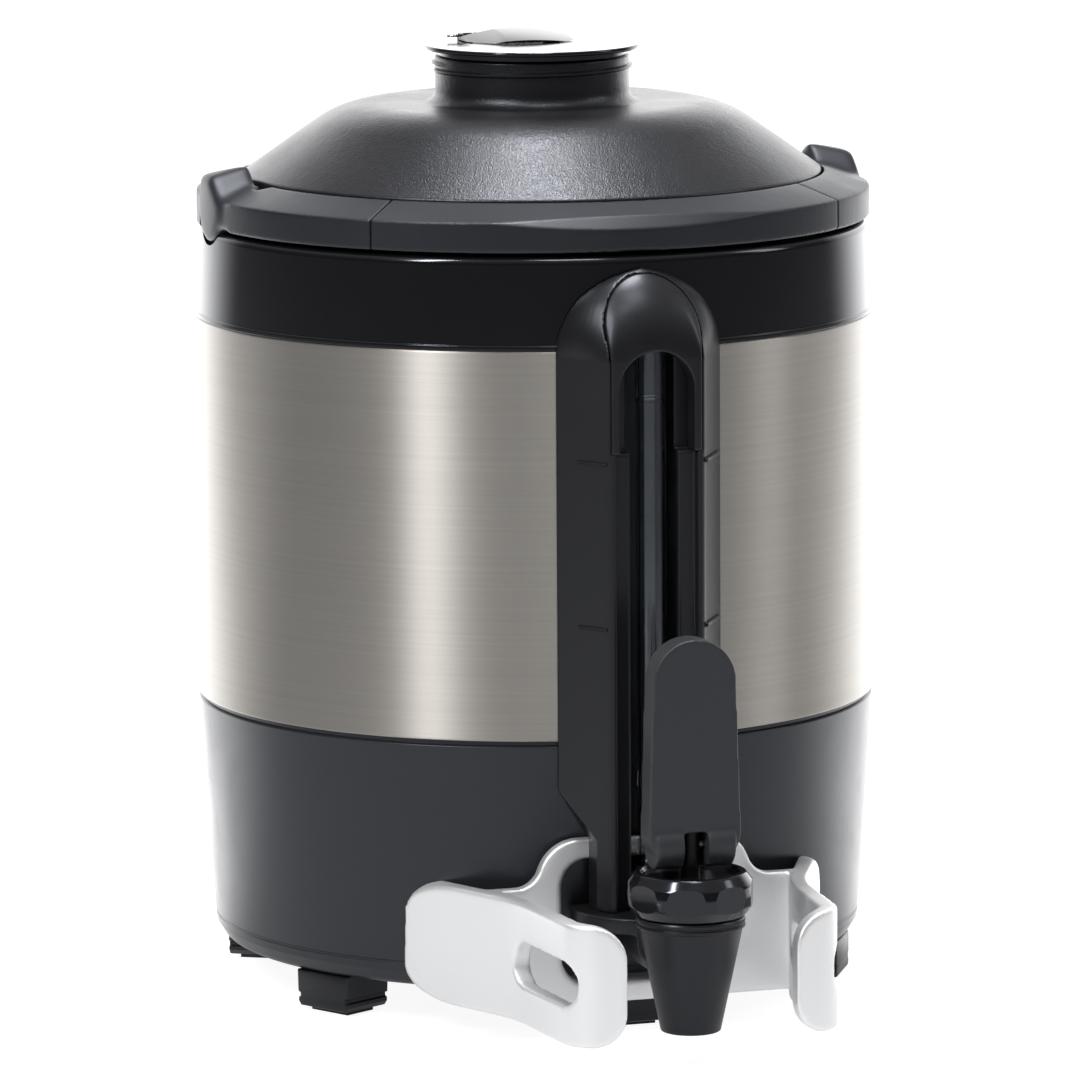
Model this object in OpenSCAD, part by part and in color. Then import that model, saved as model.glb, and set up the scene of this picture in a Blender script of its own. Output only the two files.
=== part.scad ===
// Insulated coffee server: steel body on a moulded base, lift-off dome lid with a
// brew-through neck, swing bail, sight gauge, self-closing faucet and a cast guard.
// Millimetres, +Z up, front towards -Y, origin on the body axis at floor level.

/* [Body] */
// Outside diameter of the steel shell
body_d = 225; // [185:0.5:275]
// Height of steel between base and collar
shell_h = 125.6; // [100:0.1:160]
// Sheet thickness of the steel shell
shell_wall = 1; // [0.6:0.1:1.6]
// Height of the moulded base
base_h = 82.7; // [76:0.1:110]
// How far the base draws in from top to bottom
base_draw = 5; // [2:0.5:7]
// Wall thickness of the moulded parts
mould_wall = 3; // [2:0.5:4]
// Height of the feet
foot_h = 13.4; // [11:0.1:20]
// Width of one foot along the rim
foot_w = 23; // [18:0.5:28]
// Depth of one foot towards the axis
foot_depth = 19; // [16:0.5:24]
// Height of the top collar
collar_h = 30; // [25:0.5:38]
// How far the collar draws in towards its top
collar_draw = 1.5; // [0.5:0.1:2.5]

/* [Vessel] */
// Sheet thickness of the inner vessel
vessel_wall = 1; // [0.6:0.1:1.6]
// Depth of the vessel's rim below the collar's top
vessel_rim_drop = 8.7; // [7.5:0.1:11]
// Space under the vessel for insulation
vessel_lift = 8; // [6:0.5:12]

/* [Lid] */
// Distance from the steel's outside to the lid's edge
lid_inset = 17.3; // [16:0.1:21]
// Slope of the dome's straight flank in degrees
dome_slope = 35; // [28:1:40]
// Radial run of the straight flank
dome_flank_run = 23.2; // [18:0.1:28]
// Radial run of the rounded shoulder
dome_round_run = 20; // [16:0.5:28]
// Thickness of the dome
dome_wall = 2.5; // [2:0.1:3.5]
// Outside diameter of the neck
neck_d = 64.2; // [60:0.1:80]
// Height of the neck
neck_h = 15.2; // [14:0.1:20]
// Bore of the neck
mouth_d = 52; // [44:0.5:54]
// Outside diameter of the brew tube
brew_tube_d = 16; // [12:0.5:20]
// Height of the brew tube's end above the vessel floor
brew_tube_gap = 50; // [20:1:80]

/* [Stopper] */
// Diameter of the stopper's disc
stopper_d = 71.2; // [66:0.2:88]
// Thickness of the stopper's disc
stopper_t = 1.6; // [1.4:0.1:3]
// Width of the flap
flap_w = 35; // [28:0.5:40]
// Length of the flap from hinge to lip
flap_l = 20; // [16:0.5:24]
// Thickness of the flap
flap_t = 4; // [3.4:0.1:5]

/* [Bail] */
// Gap between the collar and the bail at rest
bail_gap = 1.3; // [0.8:0.1:2]
// Height of the bail's outer face
bail_face_h = 9.5; // [8:0.1:12]
// Rise of the bail's sloping top
bail_rise = 4.2; // [3:0.1:6]
// Half the angle that the grip takes in
grip_half_angle = 45.5; // [38:0.5:55]
// Half the angle of the thumb scoop
scoop_half_angle = 24; // [18:0.5:28]
// Diameter of the ears
ear_d = 25; // [22:0.5:28]
// Diameter of the pivot pins
bail_pin_d = 6; // [4:0.5:8]

/* [Gauge] */
// Width of the column at the body
column_w = 55; // [48:0.5:62]
// Width of the column's front face
column_face_w = 31; // [28:0.5:36]
// Distance of the column's front face from the steel
column_depth = 16.5; // [15.5:0.5:20]
// Width of the column's foot
column_neck_w = 38; // [34:0.5:44]
// Outside diameter of the sight tube
gauge_tube_d = 9.4; // [7:0.1:11.5]
// Wall of the sight tube
gauge_tube_wall = 1.1; // [0.8:0.1:1.6]

/* [Faucet] */
// Distance of the spout's axis from the steel
faucet_reach = 47.5; // [47:0.5:60]
// Outside diameter of the outlet shank
shank_d = 16; // [12:0.5:19]
// Bore of the outlet shank
shank_bore = 11; // [6:0.5:12]
// Height of the shank's axis above the base's underside
shank_rise = 22.1; // [19:0.1:28]
// Diameter of the spout at its top
spout_top_d = 34; // [32:0.5:38]
// Diameter of the spout at its tip
spout_tip_d = 19; // [17:0.5:23]
// Height of the spout
spout_h = 37.1; // [34:0.1:38]
// Bore of the spout's tip
spout_bore = 13; // [9:0.5:14]
// Diameter of the bonnet
bonnet_d = 41; // [38:0.5:50]
// Height of the bonnet
bonnet_h = 14; // [12:0.5:17]
// Width of the paddle near its foot
paddle_w = 30.4; // [26:0.2:38]
// Width of the paddle near its top
paddle_top_w = 27.4; // [22:0.2:34]
// Height of the paddle
paddle_h = 72; // [60:0.5:90]
// Thickness of the paddle
paddle_t = 10; // [8:0.5:12]
// Diameter of the stem
stem_d = 6; // [5:0.1:7.2]
// Diameter of the handle's pin
handle_pin_d = 3; // [2:0.1:3.6]

/* [Guard] */
// Thickness of the cast guard
guard_t = 6; // [4:0.5:7]
// Height of the guard's wings
guard_h = 39; // [34:0.5:44]
// Half the width over the wings where they run forward
guard_half_w = 47; // [44:0.5:56]
// Height of the slot in each wing
guard_slot_h = 14.4; // [10:0.2:17]
// Height of the window around the shank
guard_window_h = 40.5; // [36:0.5:44]

/* [Hidden] */
$fn = 96;

// Clearances
slip = 0.2;
run = 0.05;
air = 0.4;
over = 1;

// Colours
black_gloss = [0.05, 0.05, 0.06];
black_satin = [0.09, 0.09, 0.10];
charcoal = [0.16, 0.17, 0.18];
slate = [0.20, 0.22, 0.24];
steel = [0.68, 0.66, 0.63];
dark_steel = [0.10, 0.10, 0.11];
aluminium = [0.86, 0.87, 0.88];
rubber = [0.12, 0.12, 0.12];
silicone = [0.75, 0.74, 0.72];
foam = [0.88, 0.84, 0.70];
clear = [0.80, 0.85, 0.88, 0.5];

// Levels of the body
body_r = body_d / 2;
z_base = foot_h;
z_shell = z_base + base_h;
z_collar = z_shell + shell_h;
z_rim = z_collar + collar_h;
z_flange = z_rim - vessel_rim_drop;
z_vessel = z_base + mould_wall + vessel_lift;

// Base
base_step = 0.5;
base_top_r = body_r - base_step;
base_low_r = base_top_r - base_draw;
base_edge = 4;
base_reveal = 0.8;
base_hole_r = body_r - 40.5;
spigot_h = 6;
spigot_r = body_r - shell_wall - slip;
plate_lap = 10;
plate_t = 2;
screw_r = 2;
screw_head_r = 3.6;
screw_head_h = 2.2;
foot_count = 6;
foot_turn = 30;
foot_proud = 1;
foot_out_r = base_low_r - base_edge + foot_proud;
pad_h = 4;
pad_show = 1.5;
pad_margin = 3.5;
plate_screw_r = base_hole_r + plate_lap / 2;
plate_screw_turn = 30;
plate_screw_l = plate_t + mould_wall - slip;

// Vessel and insulation
lid_gap = 1.4;
bail_room = 3.6;
ring_set = 1.5;
flange_w = 3.6;
ring_in = body_r - lid_inset + lid_gap;
bail_in = body_r - lid_inset + bail_room;
ring_out = body_r - ring_set;
collar_in = ring_in + air;
flange_r = collar_in - air;
vessel_r = flange_r - flange_w;
ledge_t = 5;
flange_t = 1.2;
jacket_top_drop = 8;
stub_wall = 3;
stub_r = shank_d / 2 + stub_wall;

// Collar and bail
collar_top_r = body_r - collar_draw;
collar_round = 2.5;
z_ring = z_rim + bail_gap;
z_ring_top = z_ring + bail_face_h + bail_rise;
ear_r = ear_d / 2;
pivot_rise = 7.3;
z_pivot = z_ring + pivot_rise;
ear_set = 0.6;
ear_out = body_r - ear_set;
ear_bulge = 0.3;
ear_cheek = 4.8;
lug_w = 6;
lug_in = ring_in + ear_cheek;
lug_r = 6;
pin_cover_in = 0.8;
pin_cover_out = 2.5;
pin_in = ring_in + pin_cover_in;
pin_out = ear_out - pin_cover_out;
bail_swing = 105;
notch_gap = 0.7;
seat_margin = 3;
rim_gap = 1.4;
grip_gap = 0.1;
scoop_drop = 2.5;
scoop_slope = 43;
scoop_spread = 1.35;
scoop_rise = 40;

// Lid
lid_r = body_r - lid_inset;
lid_proud = 1.3;
gasket_h = 3;
gasket_w = 6;
gasket_set = 0.3;
z_gasket = z_flange + flange_t + slip;
z_skirt = z_gasket + gasket_h;
z_lid_edge = z_ring_top + lid_proud;
bend_r = lid_r - dome_flank_run;
flat_r = bend_r - dome_round_run;
shoulder_r = dome_round_run / sin(dome_slope);
z_bend = z_lid_edge + dome_flank_run * tan(dome_slope);
z_dome = z_bend + shoulder_r * (1 - cos(dome_slope));
dome_drop = dome_wall / cos(dome_slope);
neck_r = neck_d / 2;
mouth_r = mouth_d / 2;
z_neck = z_dome + neck_h;
thread_out = 1.1;
thread_h = 2.2;
thread_drop = 2.1;
neck_fillet = 4;
ledge_w = 1.2;
ledge_h = 1;
z_ledge = z_dome - dome_wall + ledge_h;
funnel_wall = 1.6;
funnel_r = mouth_r - air;
funnel_cone_r = mouth_r - ledge_w - air;
funnel_rim_h = 8;
funnel_floor = 2;
funnel_drop = 15;
tube_r = brew_tube_d / 2;
z_tube_end = z_vessel + vessel_wall + brew_tube_gap;
liner_t = 2.6;

// Stopper and flap
stopper_r = stopper_d / 2;
z_stopper = z_neck + slip;
boss_h = 2;
z_disc = z_stopper + boss_h;
z_deck = z_disc + stopper_t;
plug_l = 6;
plug_r = mouth_r - air;
plug_wall = 3;
seal_h = 2.4;
seal_depth = 1;
fill_r = 6;
flap_lip = 2;
hinge_y = flap_l - flap_lip;
barrel_r = 1.2;
flap_pin_r = 0.5;
hinge_lift = 0.3;
z_hinge = z_deck + barrel_r + hinge_lift;
flap_shift = 2.5;
flap_left = -flap_w / 2 - flap_shift;
flap_right = flap_left + flap_w;
knuckle_w = 5;
eye_r = 1.35;
wire_r = 0.35;
flap_lift = 0.3;
flap_bevel = 6;

// Shank, elbow and gauge
z_shank = z_base + shank_rise;
shank_r = shank_d / 2;
shank_from = vessel_r + vessel_wall;
shank_in = 5;
nut_r = shank_r + 6;
nut_l = 4;
nut_to = sqrt(pow(base_low_r - mould_wall, 2) - pow(nut_r, 2)) - air;
stub_to = nut_to - nut_l;
seal_r = shank_r + 4;
elbow_set = 1.5;
elbow_from = body_r - elbow_set;
faucet_y = body_r + faucet_reach;
elbow_wall = 3.5;
elbow_r = shank_r + elbow_wall;
rib_r = spout_top_d / 2 + 0.4;
elbow_to = faucet_y - rib_r - air;
gauge_r = gauge_tube_d / 2;
hood_r = gauge_r + 1.2;
hood_skin = 1.1;
tube_y = body_r + column_depth - hood_r - hood_skin;
foot_flange_r = 25;
foot_flange_y = body_r + 5.5;
foot_flange_t = 5;
z_column = z_shank + 7.5;
socket_wall = 1.2;
socket_r = gauge_r + 1.5 + socket_wall;
socket_h = 11;
z_socket = z_column + 3;
riser_r = 3;

// Column
column_r = body_r + 0.3;
column_front = body_r + column_depth;
column_heel = body_r - 2.5;
z_column_top = z_rim - 3.7;
z_arch = z_column_top - column_w / 2;
z_crown = z_column_top - 26;
crown_rise = z_column_top - z_crown;
crown_r = (pow(column_depth - 0.5, 2) + pow(crown_rise, 2)) / (2 * (column_depth - 0.5));
z_taper_top = z_shell - 16;
z_taper_low = z_column + 23;
step_half = column_face_w / 2 - 1.9;
step_depth = 3.5;
groove_half = socket_r + 0.6;
groove_floor = body_r + 1.7;
cap_half = column_face_w / 2 - 0.3;
cap_back = body_r + 8.5;
cap_skin = 2;
cap_arch_r = column_w / 2 - 2.5;
z_cap = z_column_top - 57.5;
window_half = 12.5;
z_window = z_cap + 32.5;
z_gauge_top = z_window + 2;
plug_top_h = 2;
plug_grip = 2;
vent_r = 1;
groove_top = z_gauge_top + plug_top_h + 0.5;
tick_levels = [z_cap - 3, z_cap - 56];
tick_l = 16;
tick_h = 1.4;
tick_proud = 0.9;
flank_angle = atan2(column_depth + 2.5, (column_w - column_face_w) / 2);
gauge_screw_levels = [z_column_top - 9, z_shell - 12];
gauge_screw_r = 1.5;
gauge_screw_head_r = 3;
gauge_screw_head_h = 1.8;
gauge_screw_l = 9;

// Guard
plate_back = body_r - 2.5;
plate_front = plate_back + guard_t - 1;
plate_arch_half = 36;
plate_arch_h = 54;
plate_corner = 14;
plate_fillet = 8;
plate_step = 6;
plate_half = guard_half_w + 5;
z_guard = z_shank - 24.5;
wing_corner = 11;
wing_rear = 71;
wing_tip = 28;
bend_heading = 25;
run_heading = 5;
curl_heading = 75;
bend_step = 4;
curl_step = 7;
bend_radius = 58;
curl_radius = 13.5;
run_from = body_r + 27.5;
run_side = guard_half_w + 1.2;
run_l = 28.5;
flank_l = 50;
curl_l = 8;
window_side = 28;
window_low = 7;
window_corner = 9;
slot_from = body_r + 18.5;
slot_to = body_r + 63;
boss_x = 35;
boss_r = 6;
boss_y = plate_back - 5;
boss_floor = sqrt(pow(base_low_r - mould_wall, 2) - pow(boss_x + boss_r, 2));
boss_room = 2;
boss_head_room = 6;
guard_screw_r = 2;
guard_skin = 1.5;

// Faucet
z_tip = z_shank - 24.9;
z_spout = z_tip + spout_h;
chamber_r = 11;
z_seat = z_shank - 6.5;
spigot_out_r = 13.5;
spigot_rise = 8;
rib_h = 1;
rib_pitch = 1.6;
bonnet_r = bonnet_d / 2;
z_bonnet = z_spout + air;
z_bonnet_top = z_bonnet + bonnet_h;
bonnet_round = 4;
bonnet_cap_t = 5;
bonnet_dish = 1.6;
bonnet_rim = 1;
bonnet_flats = 8;
flat_in = 0.9;
stem_r = stem_d / 2;
z_stem = z_seat + 5;
stem_head = 4.5;
handle_pin_r = handle_pin_d / 2;
pin_rise = 8.4;
z_pin = z_bonnet_top + pin_rise;
collar_ring_r = 8.5;
collar_ring_h = 2;
z_collar_ring = z_seat + 12;
cup_r = 9;
cup_lift = 0.3;
spring_r = 6.6;
spring_wire_r = 0.7;
spring_turns = 4;
spring_steps = 16;
spring_sides = 6;
hub_r = 7.4;
hub_half = 13;
hub_skin = 1;
notch_half = stem_r + 0.9;
notch_back = stem_r + 0.5;
notch_r = 6;
paddle_foot = 6;
paddle_foot_r = 10;
paddle_back = paddle_t / 2 - 0.5;

// Shapes drawn with +Y forward are turned to face the front
module forward() {
    mirror([0, 1, 0]) children();
}

// Round bar along Y between two distances
module bar_y(r, from, to) {
    translate([0, from, 0]) rotate([-90, 0, 0]) cylinder(r = r, h = to - from);
}

// Round bar along X between two distances
module bar_x(r, from, to) {
    translate([from, 0, 0]) rotate([0, 90, 0]) cylinder(r = r, h = to - from);
}

// Upright tube
module tube(outer, inner, from, to) {
    translate([0, 0, from]) difference() {
        cylinder(r = outer, h = to - from);
        translate([0, 0, -over]) cylinder(r = inner, h = to - from + 2 * over);
    }
}

// Outline in X and Z, extruded along Y
module face_on(from, to) {
    translate([0, to, 0]) rotate([90, 0, 0]) linear_extrude(to - from) children();
}

// Outline in Y and Z, extruded along X
module side_on(from, to) {
    translate([from, 0, 0]) rotate([90, 0, 90]) linear_extrude(to - from) children();
}

// Rectangle with round corners
module round_rect(low, high, r) {
    translate([low[0] + r, low[1]]) square([high[0] - low[0] - 2 * r, high[1] - low[1]]);
    translate([low[0], low[1] + r]) square([high[0] - low[0], high[1] - low[1] - 2 * r]);
    for (x = [low[0] + r, high[0] - r], y = [low[1] + r, high[1] - r])
        translate([x, y]) circle(r);
}

module left_and_right() {
    children();
    mirror([1, 0, 0]) children();
}

module around(count, turn) {
    for (i = [0 : count - 1]) rotate([0, 0, turn + i * 360 / count]) children();
}

// Outside of the base as a solid of revolution, grown by a gap
module base_envelope(gap) {
    rotate_extrude() polygon([[0, 0], [base_low_r + gap, 0],
        [base_low_r + gap, z_base + base_edge], [base_top_r + gap, z_shell], [0, z_shell]]);
}

module base_housing() {
    color(charcoal) difference() {
        union() {
            rotate_extrude() polygon([[base_hole_r, z_base], [base_low_r - base_edge, z_base],
                [base_low_r, z_base + base_edge], [base_top_r, z_shell - base_reveal],
                [base_top_r - base_reveal, z_shell], [spigot_r, z_shell],
                [spigot_r, z_shell + spigot_h], [spigot_r - mould_wall, z_shell + spigot_h],
                [base_top_r - mould_wall, z_shell - mould_wall],
                [base_low_r - mould_wall, z_base + base_edge],
                [base_low_r - mould_wall, z_base + mould_wall],
                [base_hole_r, z_base + mould_wall]]);
            forward() left_and_right() translate([boss_x, 0, z_shank]) bar_y(boss_r, boss_floor, boss_y);
        }
        forward() translate([0, 0, z_shank]) bar_y(shank_r + slip, vessel_r, body_r + over);
        forward() left_and_right() translate([boss_x, 0, z_shank])
            bar_y(guard_screw_r + run, boss_floor - over, boss_y + over);
        forward() for (z = gauge_screw_levels) translate([0, 0, z])
            bar_y(gauge_screw_r + run, vessel_r, body_r + over);
        around(foot_count, plate_screw_turn) translate([plate_screw_r, 0, z_base - over])
            cylinder(r = screw_r + run, h = mould_wall + 2 * over);
    }
}

module base_plate() {
    color(black_satin) difference() {
        translate([0, 0, z_base - plate_t]) cylinder(r = base_hole_r + plate_lap, h = plate_t);
        around(foot_count, plate_screw_turn) translate([plate_screw_r, 0, z_base - plate_t - over])
            cylinder(r = screw_r + slip, h = plate_t + 2 * over);
    }
}

module base_feet() {
    color(black_satin) around(foot_count, foot_turn) difference() {
        translate([foot_out_r - foot_depth, -foot_w / 2, pad_show])
            cube([foot_depth, foot_w, z_base - pad_show]);
        translate([foot_out_r - foot_depth + pad_margin - slip, pad_margin - slip - foot_w / 2, 0])
            cube([foot_depth - 2 * pad_margin + 2 * slip, foot_w - 2 * pad_margin + 2 * slip, pad_h]);
    }
}

module foot_pads() {
    color(rubber) around(foot_count, foot_turn)
        translate([foot_out_r - foot_depth + pad_margin, pad_margin - foot_w / 2, 0])
            cube([foot_depth - 2 * pad_margin, foot_w - 2 * pad_margin, pad_h]);
}

module base_screws() {
    color(steel) around(foot_count, plate_screw_turn) translate([plate_screw_r, 0, z_base - plate_t]) {
        cylinder(r = screw_r, h = plate_screw_l);
        translate([0, 0, -screw_head_h]) cylinder(r = screw_head_r, h = screw_head_h);
    }
}

module outer_shell() {
    color(steel) tube(body_r, body_r - shell_wall, z_shell, z_collar);
}

module top_collar() {
    color(black_gloss) {
        difference() {
            union() {
                rotate_extrude() polygon([[spigot_r, z_collar - spigot_h], [spigot_r, z_collar],
                    [body_r, z_collar], [collar_top_r, z_rim - collar_round],
                    [collar_top_r - collar_round, z_rim], [collar_in, z_rim], [collar_in, z_flange],
                    [vessel_r + vessel_wall + air, z_flange],
                    [vessel_r + vessel_wall + air, z_flange - ledge_t],
                    [collar_in + mould_wall, z_flange - ledge_t],
                    [collar_in + mould_wall, z_rim - mould_wall],
                    [spigot_r - mould_wall, z_rim - mould_wall],
                    [spigot_r - mould_wall, z_collar - spigot_h]]);
                intersection() {
                    rotate_extrude() polygon([[collar_in, z_flange - ledge_t],
                        [collar_in, z_rim], [collar_top_r - collar_round, z_rim],
                        [collar_top_r, z_rim - collar_round], [spigot_r - over, z_flange - ledge_t]]);
                    translate([0, 0, z_pivot])
                        bar_x(ear_r + notch_gap + seat_margin, -body_r, body_r);
                }
            }
            left_and_right() translate([0, 0, z_pivot])
                bar_x(ear_r + notch_gap, collar_in - over, body_r + over);
            forward() translate([0, 0, gauge_screw_levels[0]])
                bar_y(gauge_screw_r + run, vessel_r, body_r + over);
        }
        left_and_right() difference() {
            side_on(lug_in, lug_in + lug_w) union() {
                translate([0, z_pivot]) circle(lug_r);
                translate([-lug_r, z_pivot - ear_r - notch_gap - seat_margin])
                    square([2 * lug_r, ear_r + notch_gap + seat_margin]);
            }
            translate([0, 0, z_pivot])
                bar_x(bail_pin_d / 2 + run, lug_in - over, lug_in + lug_w + over);
        }
    }
}

// Section of the ring that the bail and the rear rim share
module ring_section(z_low) {
    polygon([[bail_in, z_low], [ring_out, z_low], [ring_out, z_ring + bail_face_h],
        [bail_in, z_ring_top]]);
}

module rear_rim() {
    color(slate) difference() {
        rotate_extrude(angle = 180) ring_section(z_rim);
        translate([-body_r, -over, 0]) cube([2 * body_r, over + ear_r + rim_gap, z_ring_top + over]);
    }
}

module inner_vessel() {
    color(steel) difference() {
        union() {
            translate([0, 0, z_vessel]) cylinder(r = vessel_r + vessel_wall, h = z_flange - z_vessel);
            translate([0, 0, z_flange]) cylinder(r = flange_r, h = flange_t);
            forward() translate([0, 0, z_shank]) bar_y(stub_r, vessel_r / 2, stub_to);
        }
        translate([0, 0, z_vessel + vessel_wall]) cylinder(r = vessel_r, h = z_rim - z_vessel);
        forward() translate([0, 0, z_shank]) bar_y(shank_r + run, vessel_r / 2, body_r);
    }
}

module insulation_jacket() {
    lower_r = base_low_r - mould_wall - air;
    upper_r = spigot_r - mould_wall - air;
    bore_r = vessel_r + vessel_wall + slip;
    color(foam) difference() {
        rotate_extrude() polygon([[0, z_base + mould_wall], [lower_r, z_base + mould_wall],
            [lower_r, z_shell - spigot_h], [upper_r, z_shell + spigot_h],
            [upper_r, z_flange - jacket_top_drop], [bore_r, z_flange - jacket_top_drop],
            [bore_r, z_vessel], [0, z_vessel]]);
        forward() translate([0, 0, z_shank]) bar_y(nut_r + over, vessel_r / 2, body_r);
        forward() left_and_right() translate([boss_x, 0, z_shank])
            bar_y(boss_r + boss_room, boss_floor - boss_head_room, body_r);
    }
}

module outlet_shank() {
    color(steel) forward() translate([0, 0, z_shank]) difference() {
        bar_y(shank_r, shank_from, elbow_to + shank_in);
        bar_y(shank_bore / 2, shank_from - over, elbow_to + shank_in + over);
        translate([0, tube_y, 0]) cylinder(r = riser_r, h = shank_d);
    }
}

module shank_nut() {
    color(steel) forward() translate([0, 0, z_shank]) difference() {
        translate([0, stub_to, 0]) rotate([-90, 0, 0]) cylinder(r = nut_r, h = nut_l, $fn = 6);
        bar_y(shank_r + run, shank_from, body_r);
    }
}

// Ring between the base's wall and the elbow, hollowed to the wall's curve
module shank_seal() {
    color(rubber) forward() difference() {
        intersection() {
            translate([0, 0, z_shank]) bar_y(seal_r, vessel_r, elbow_from);
            cylinder(r = elbow_from - slip, h = z_shell);
        }
        base_envelope(slip);
        translate([0, 0, z_shank]) bar_y(shank_r + run, vessel_r, elbow_from + over);
    }
}

module gauge_elbow() {
    color(black_satin) forward() difference() {
        union() {
            translate([0, 0, z_shank]) bar_y(elbow_r, elbow_from, elbow_to);
            difference() {
                translate([0, foot_flange_y, z_column - foot_flange_t])
                    cylinder(r = foot_flange_r, h = foot_flange_t);
                translate([0, 0, z_shank]) cylinder(r = elbow_from, h = socket_h);
                translate([-foot_flange_r, elbow_to, z_shank])
                    cube([2 * foot_flange_r, foot_flange_r, socket_h]);
            }
            translate([0, tube_y, z_shank]) cylinder(r = socket_r, h = z_column + socket_h - z_shank);
        }
        translate([0, 0, z_shank]) bar_y(shank_r + run, elbow_from - over, elbow_to + over);
        translate([0, tube_y, z_shank]) cylinder(r = riser_r, h = socket_h);
        translate([0, tube_y, z_socket]) cylinder(r = socket_r - socket_wall, h = socket_h);
    }
}

// Front view of the column: arched top, straight sides, drawn-in foot
module column_front_view() {
    translate([0, z_arch]) circle(column_w / 2);
    polygon([[-column_neck_w / 2, z_column], [column_neck_w / 2, z_column],
        [column_neck_w / 2, z_taper_low], [column_w / 2, z_taper_top], [column_w / 2, z_arch],
        [-column_w / 2, z_arch], [-column_w / 2, z_taper_top], [-column_neck_w / 2, z_taper_low]]);
}

// Column without its groove: plan, front view and rounded crown
module column_blank() {
    intersection() {
        translate([0, 0, z_column]) linear_extrude(z_rim - z_column) difference() {
            polygon([[-column_w / 2, column_heel - crown_rise], [column_w / 2, column_heel - crown_rise],
                [column_w / 2, column_heel], [column_face_w / 2, column_front],
                [-column_face_w / 2, column_front], [-column_w / 2, column_heel]]);
            circle(column_r);
        }
        face_on(0, column_front + over) column_front_view();
        side_on(-column_w, column_w) union() {
            translate([0, z_column]) square([column_front, z_crown - z_column]);
            translate([column_front - crown_r, z_crown]) circle(crown_r);
        }
    }
}

// Front view of the cap: straight sides under an arch inside the column's arch
module cap_front_view(gap) {
    half = cap_half - gap;
    intersection() {
        translate([-half, z_cap + gap]) square([2 * half, z_rim - z_cap]);
        union() {
            translate([0, z_arch]) circle(cap_arch_r - gap);
            translate([-half, z_cap]) square([2 * half, z_arch - z_cap]);
        }
    }
}

// Side view of the cap's space: in front of a flat back, and over an inner crown
module cap_side_view(gap) {
    translate([cap_back + gap, z_cap]) square([column_depth, z_rim - z_cap]);
    difference() {
        translate([body_r, z_crown]) square([column_depth, z_rim - z_crown]);
        translate([column_front - crown_r, z_crown]) circle(crown_r - cap_skin + gap);
    }
}

// Region that the cap fills, shrunk by a gap
module cap_region(gap) {
    intersection() {
        face_on(body_r, column_front + over) cap_front_view(gap);
        side_on(-cap_half, cap_half) cap_side_view(gap);
    }
}

module gauge_column() {
    color(black_satin) forward() {
        difference() {
            column_blank();
            cap_region(0);
            translate([-step_half, column_front - step_depth, 0])
                cube([2 * step_half, step_depth + over, z_rim]);
            translate([0, 0, z_shank]) bar_y(elbow_r + slip, body_r, column_front + over);
            translate([-groove_half, groove_floor, 0])
                cube([2 * groove_half, column_depth + over, groove_top]);
            translate([-column_w, 0, 0]) cube([2 * column_w, plate_front + air, z_taper_low]);
            for (z = gauge_screw_levels) translate([0, 0, z])
                bar_y(gauge_screw_r + slip, vessel_r, column_front);
            translate([0, 0, gauge_screw_levels[0]])
                bar_y(gauge_screw_head_r + slip, groove_floor, column_front);
        }
        left_and_right() for (z = tick_levels) translate([column_face_w / 2, column_front, z])
            rotate([0, 0, -flank_angle]) translate([0, -tick_proud, 0])
                cube([tick_l, 2 * tick_proud, tick_h]);
    }
}

module gauge_cap() {
    color(black_satin) forward() difference() {
        intersection() {
            column_blank();
            cap_region(slip);
        }
        face_on(0, column_front + over) union() {
            translate([0, z_window - window_half]) circle(window_half);
            translate([-window_half, 0]) square([2 * window_half, z_window - window_half]);
        }
        translate([0, tube_y, 0]) cylinder(r = hood_r, h = groove_top);
    }
}

module gauge_tube() {
    color(clear) forward() translate([0, tube_y, 0])
        tube(gauge_r, gauge_r - gauge_tube_wall, z_socket + slip, z_gauge_top);
}

module gauge_seals() {
    color(rubber) forward() translate([0, tube_y, 0]) {
        tube(socket_r - socket_wall - run, gauge_r + run, z_socket + slip, z_column + socket_h);
        difference() {
            translate([0, 0, z_gauge_top - plug_grip])
                cylinder(r = hood_r - slip, h = plug_top_h + plug_grip);
            translate([0, 0, z_gauge_top - plug_grip - over])
                cylinder(r = gauge_r + run, h = plug_grip + over);
            translate([0, 0, z_gauge_top - over]) cylinder(r = vent_r, h = plug_top_h + 2 * over);
        }
    }
}

module gauge_screws() {
    color(steel) forward() for (z = gauge_screw_levels) translate([0, 0, z]) {
        bar_y(gauge_screw_r, groove_floor - gauge_screw_l, groove_floor);
        bar_y(gauge_screw_head_r, groove_floor, groove_floor + gauge_screw_head_h);
    }
}

// Direction of travel and outward side at a heading measured from forward
function heading(a) = [-sin(a), cos(a)];
function outward(a) = [cos(a), sin(a)];

// Outer face of the right wing in plan as points with headings: flank on the base,
// bend, forward run and inward curl
function wing_path() = let (
    run_start = [run_side, run_from],
    run_end = run_start + run_l * heading(run_heading),
    bend_centre = run_start + bend_radius * outward(run_heading),
    bend_end = bend_centre - bend_radius * outward(bend_heading),
    curl_centre = run_end - curl_radius * outward(run_heading),
    curl_end = curl_centre + curl_radius * outward(curl_heading)
) concat(
    [[bend_end - flank_l * heading(bend_heading), bend_heading]],
    [for (a = [bend_heading : -bend_step : run_heading]) [bend_centre - bend_radius * outward(a), a]],
    [for (a = [run_heading : curl_step : curl_heading]) [curl_centre + curl_radius * outward(a), a]],
    [[curl_end + curl_l * heading(curl_heading), curl_heading]]
);

module wing_plan() {
    path = wing_path();
    last = len(path) - 1;
    outer = [for (p = path) p[0]];
    inner = [for (i = [0 : last]) path[last - i][0] - guard_t * outward(path[last - i][1])];
    polygon(concat(outer, inner));
}

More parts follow.
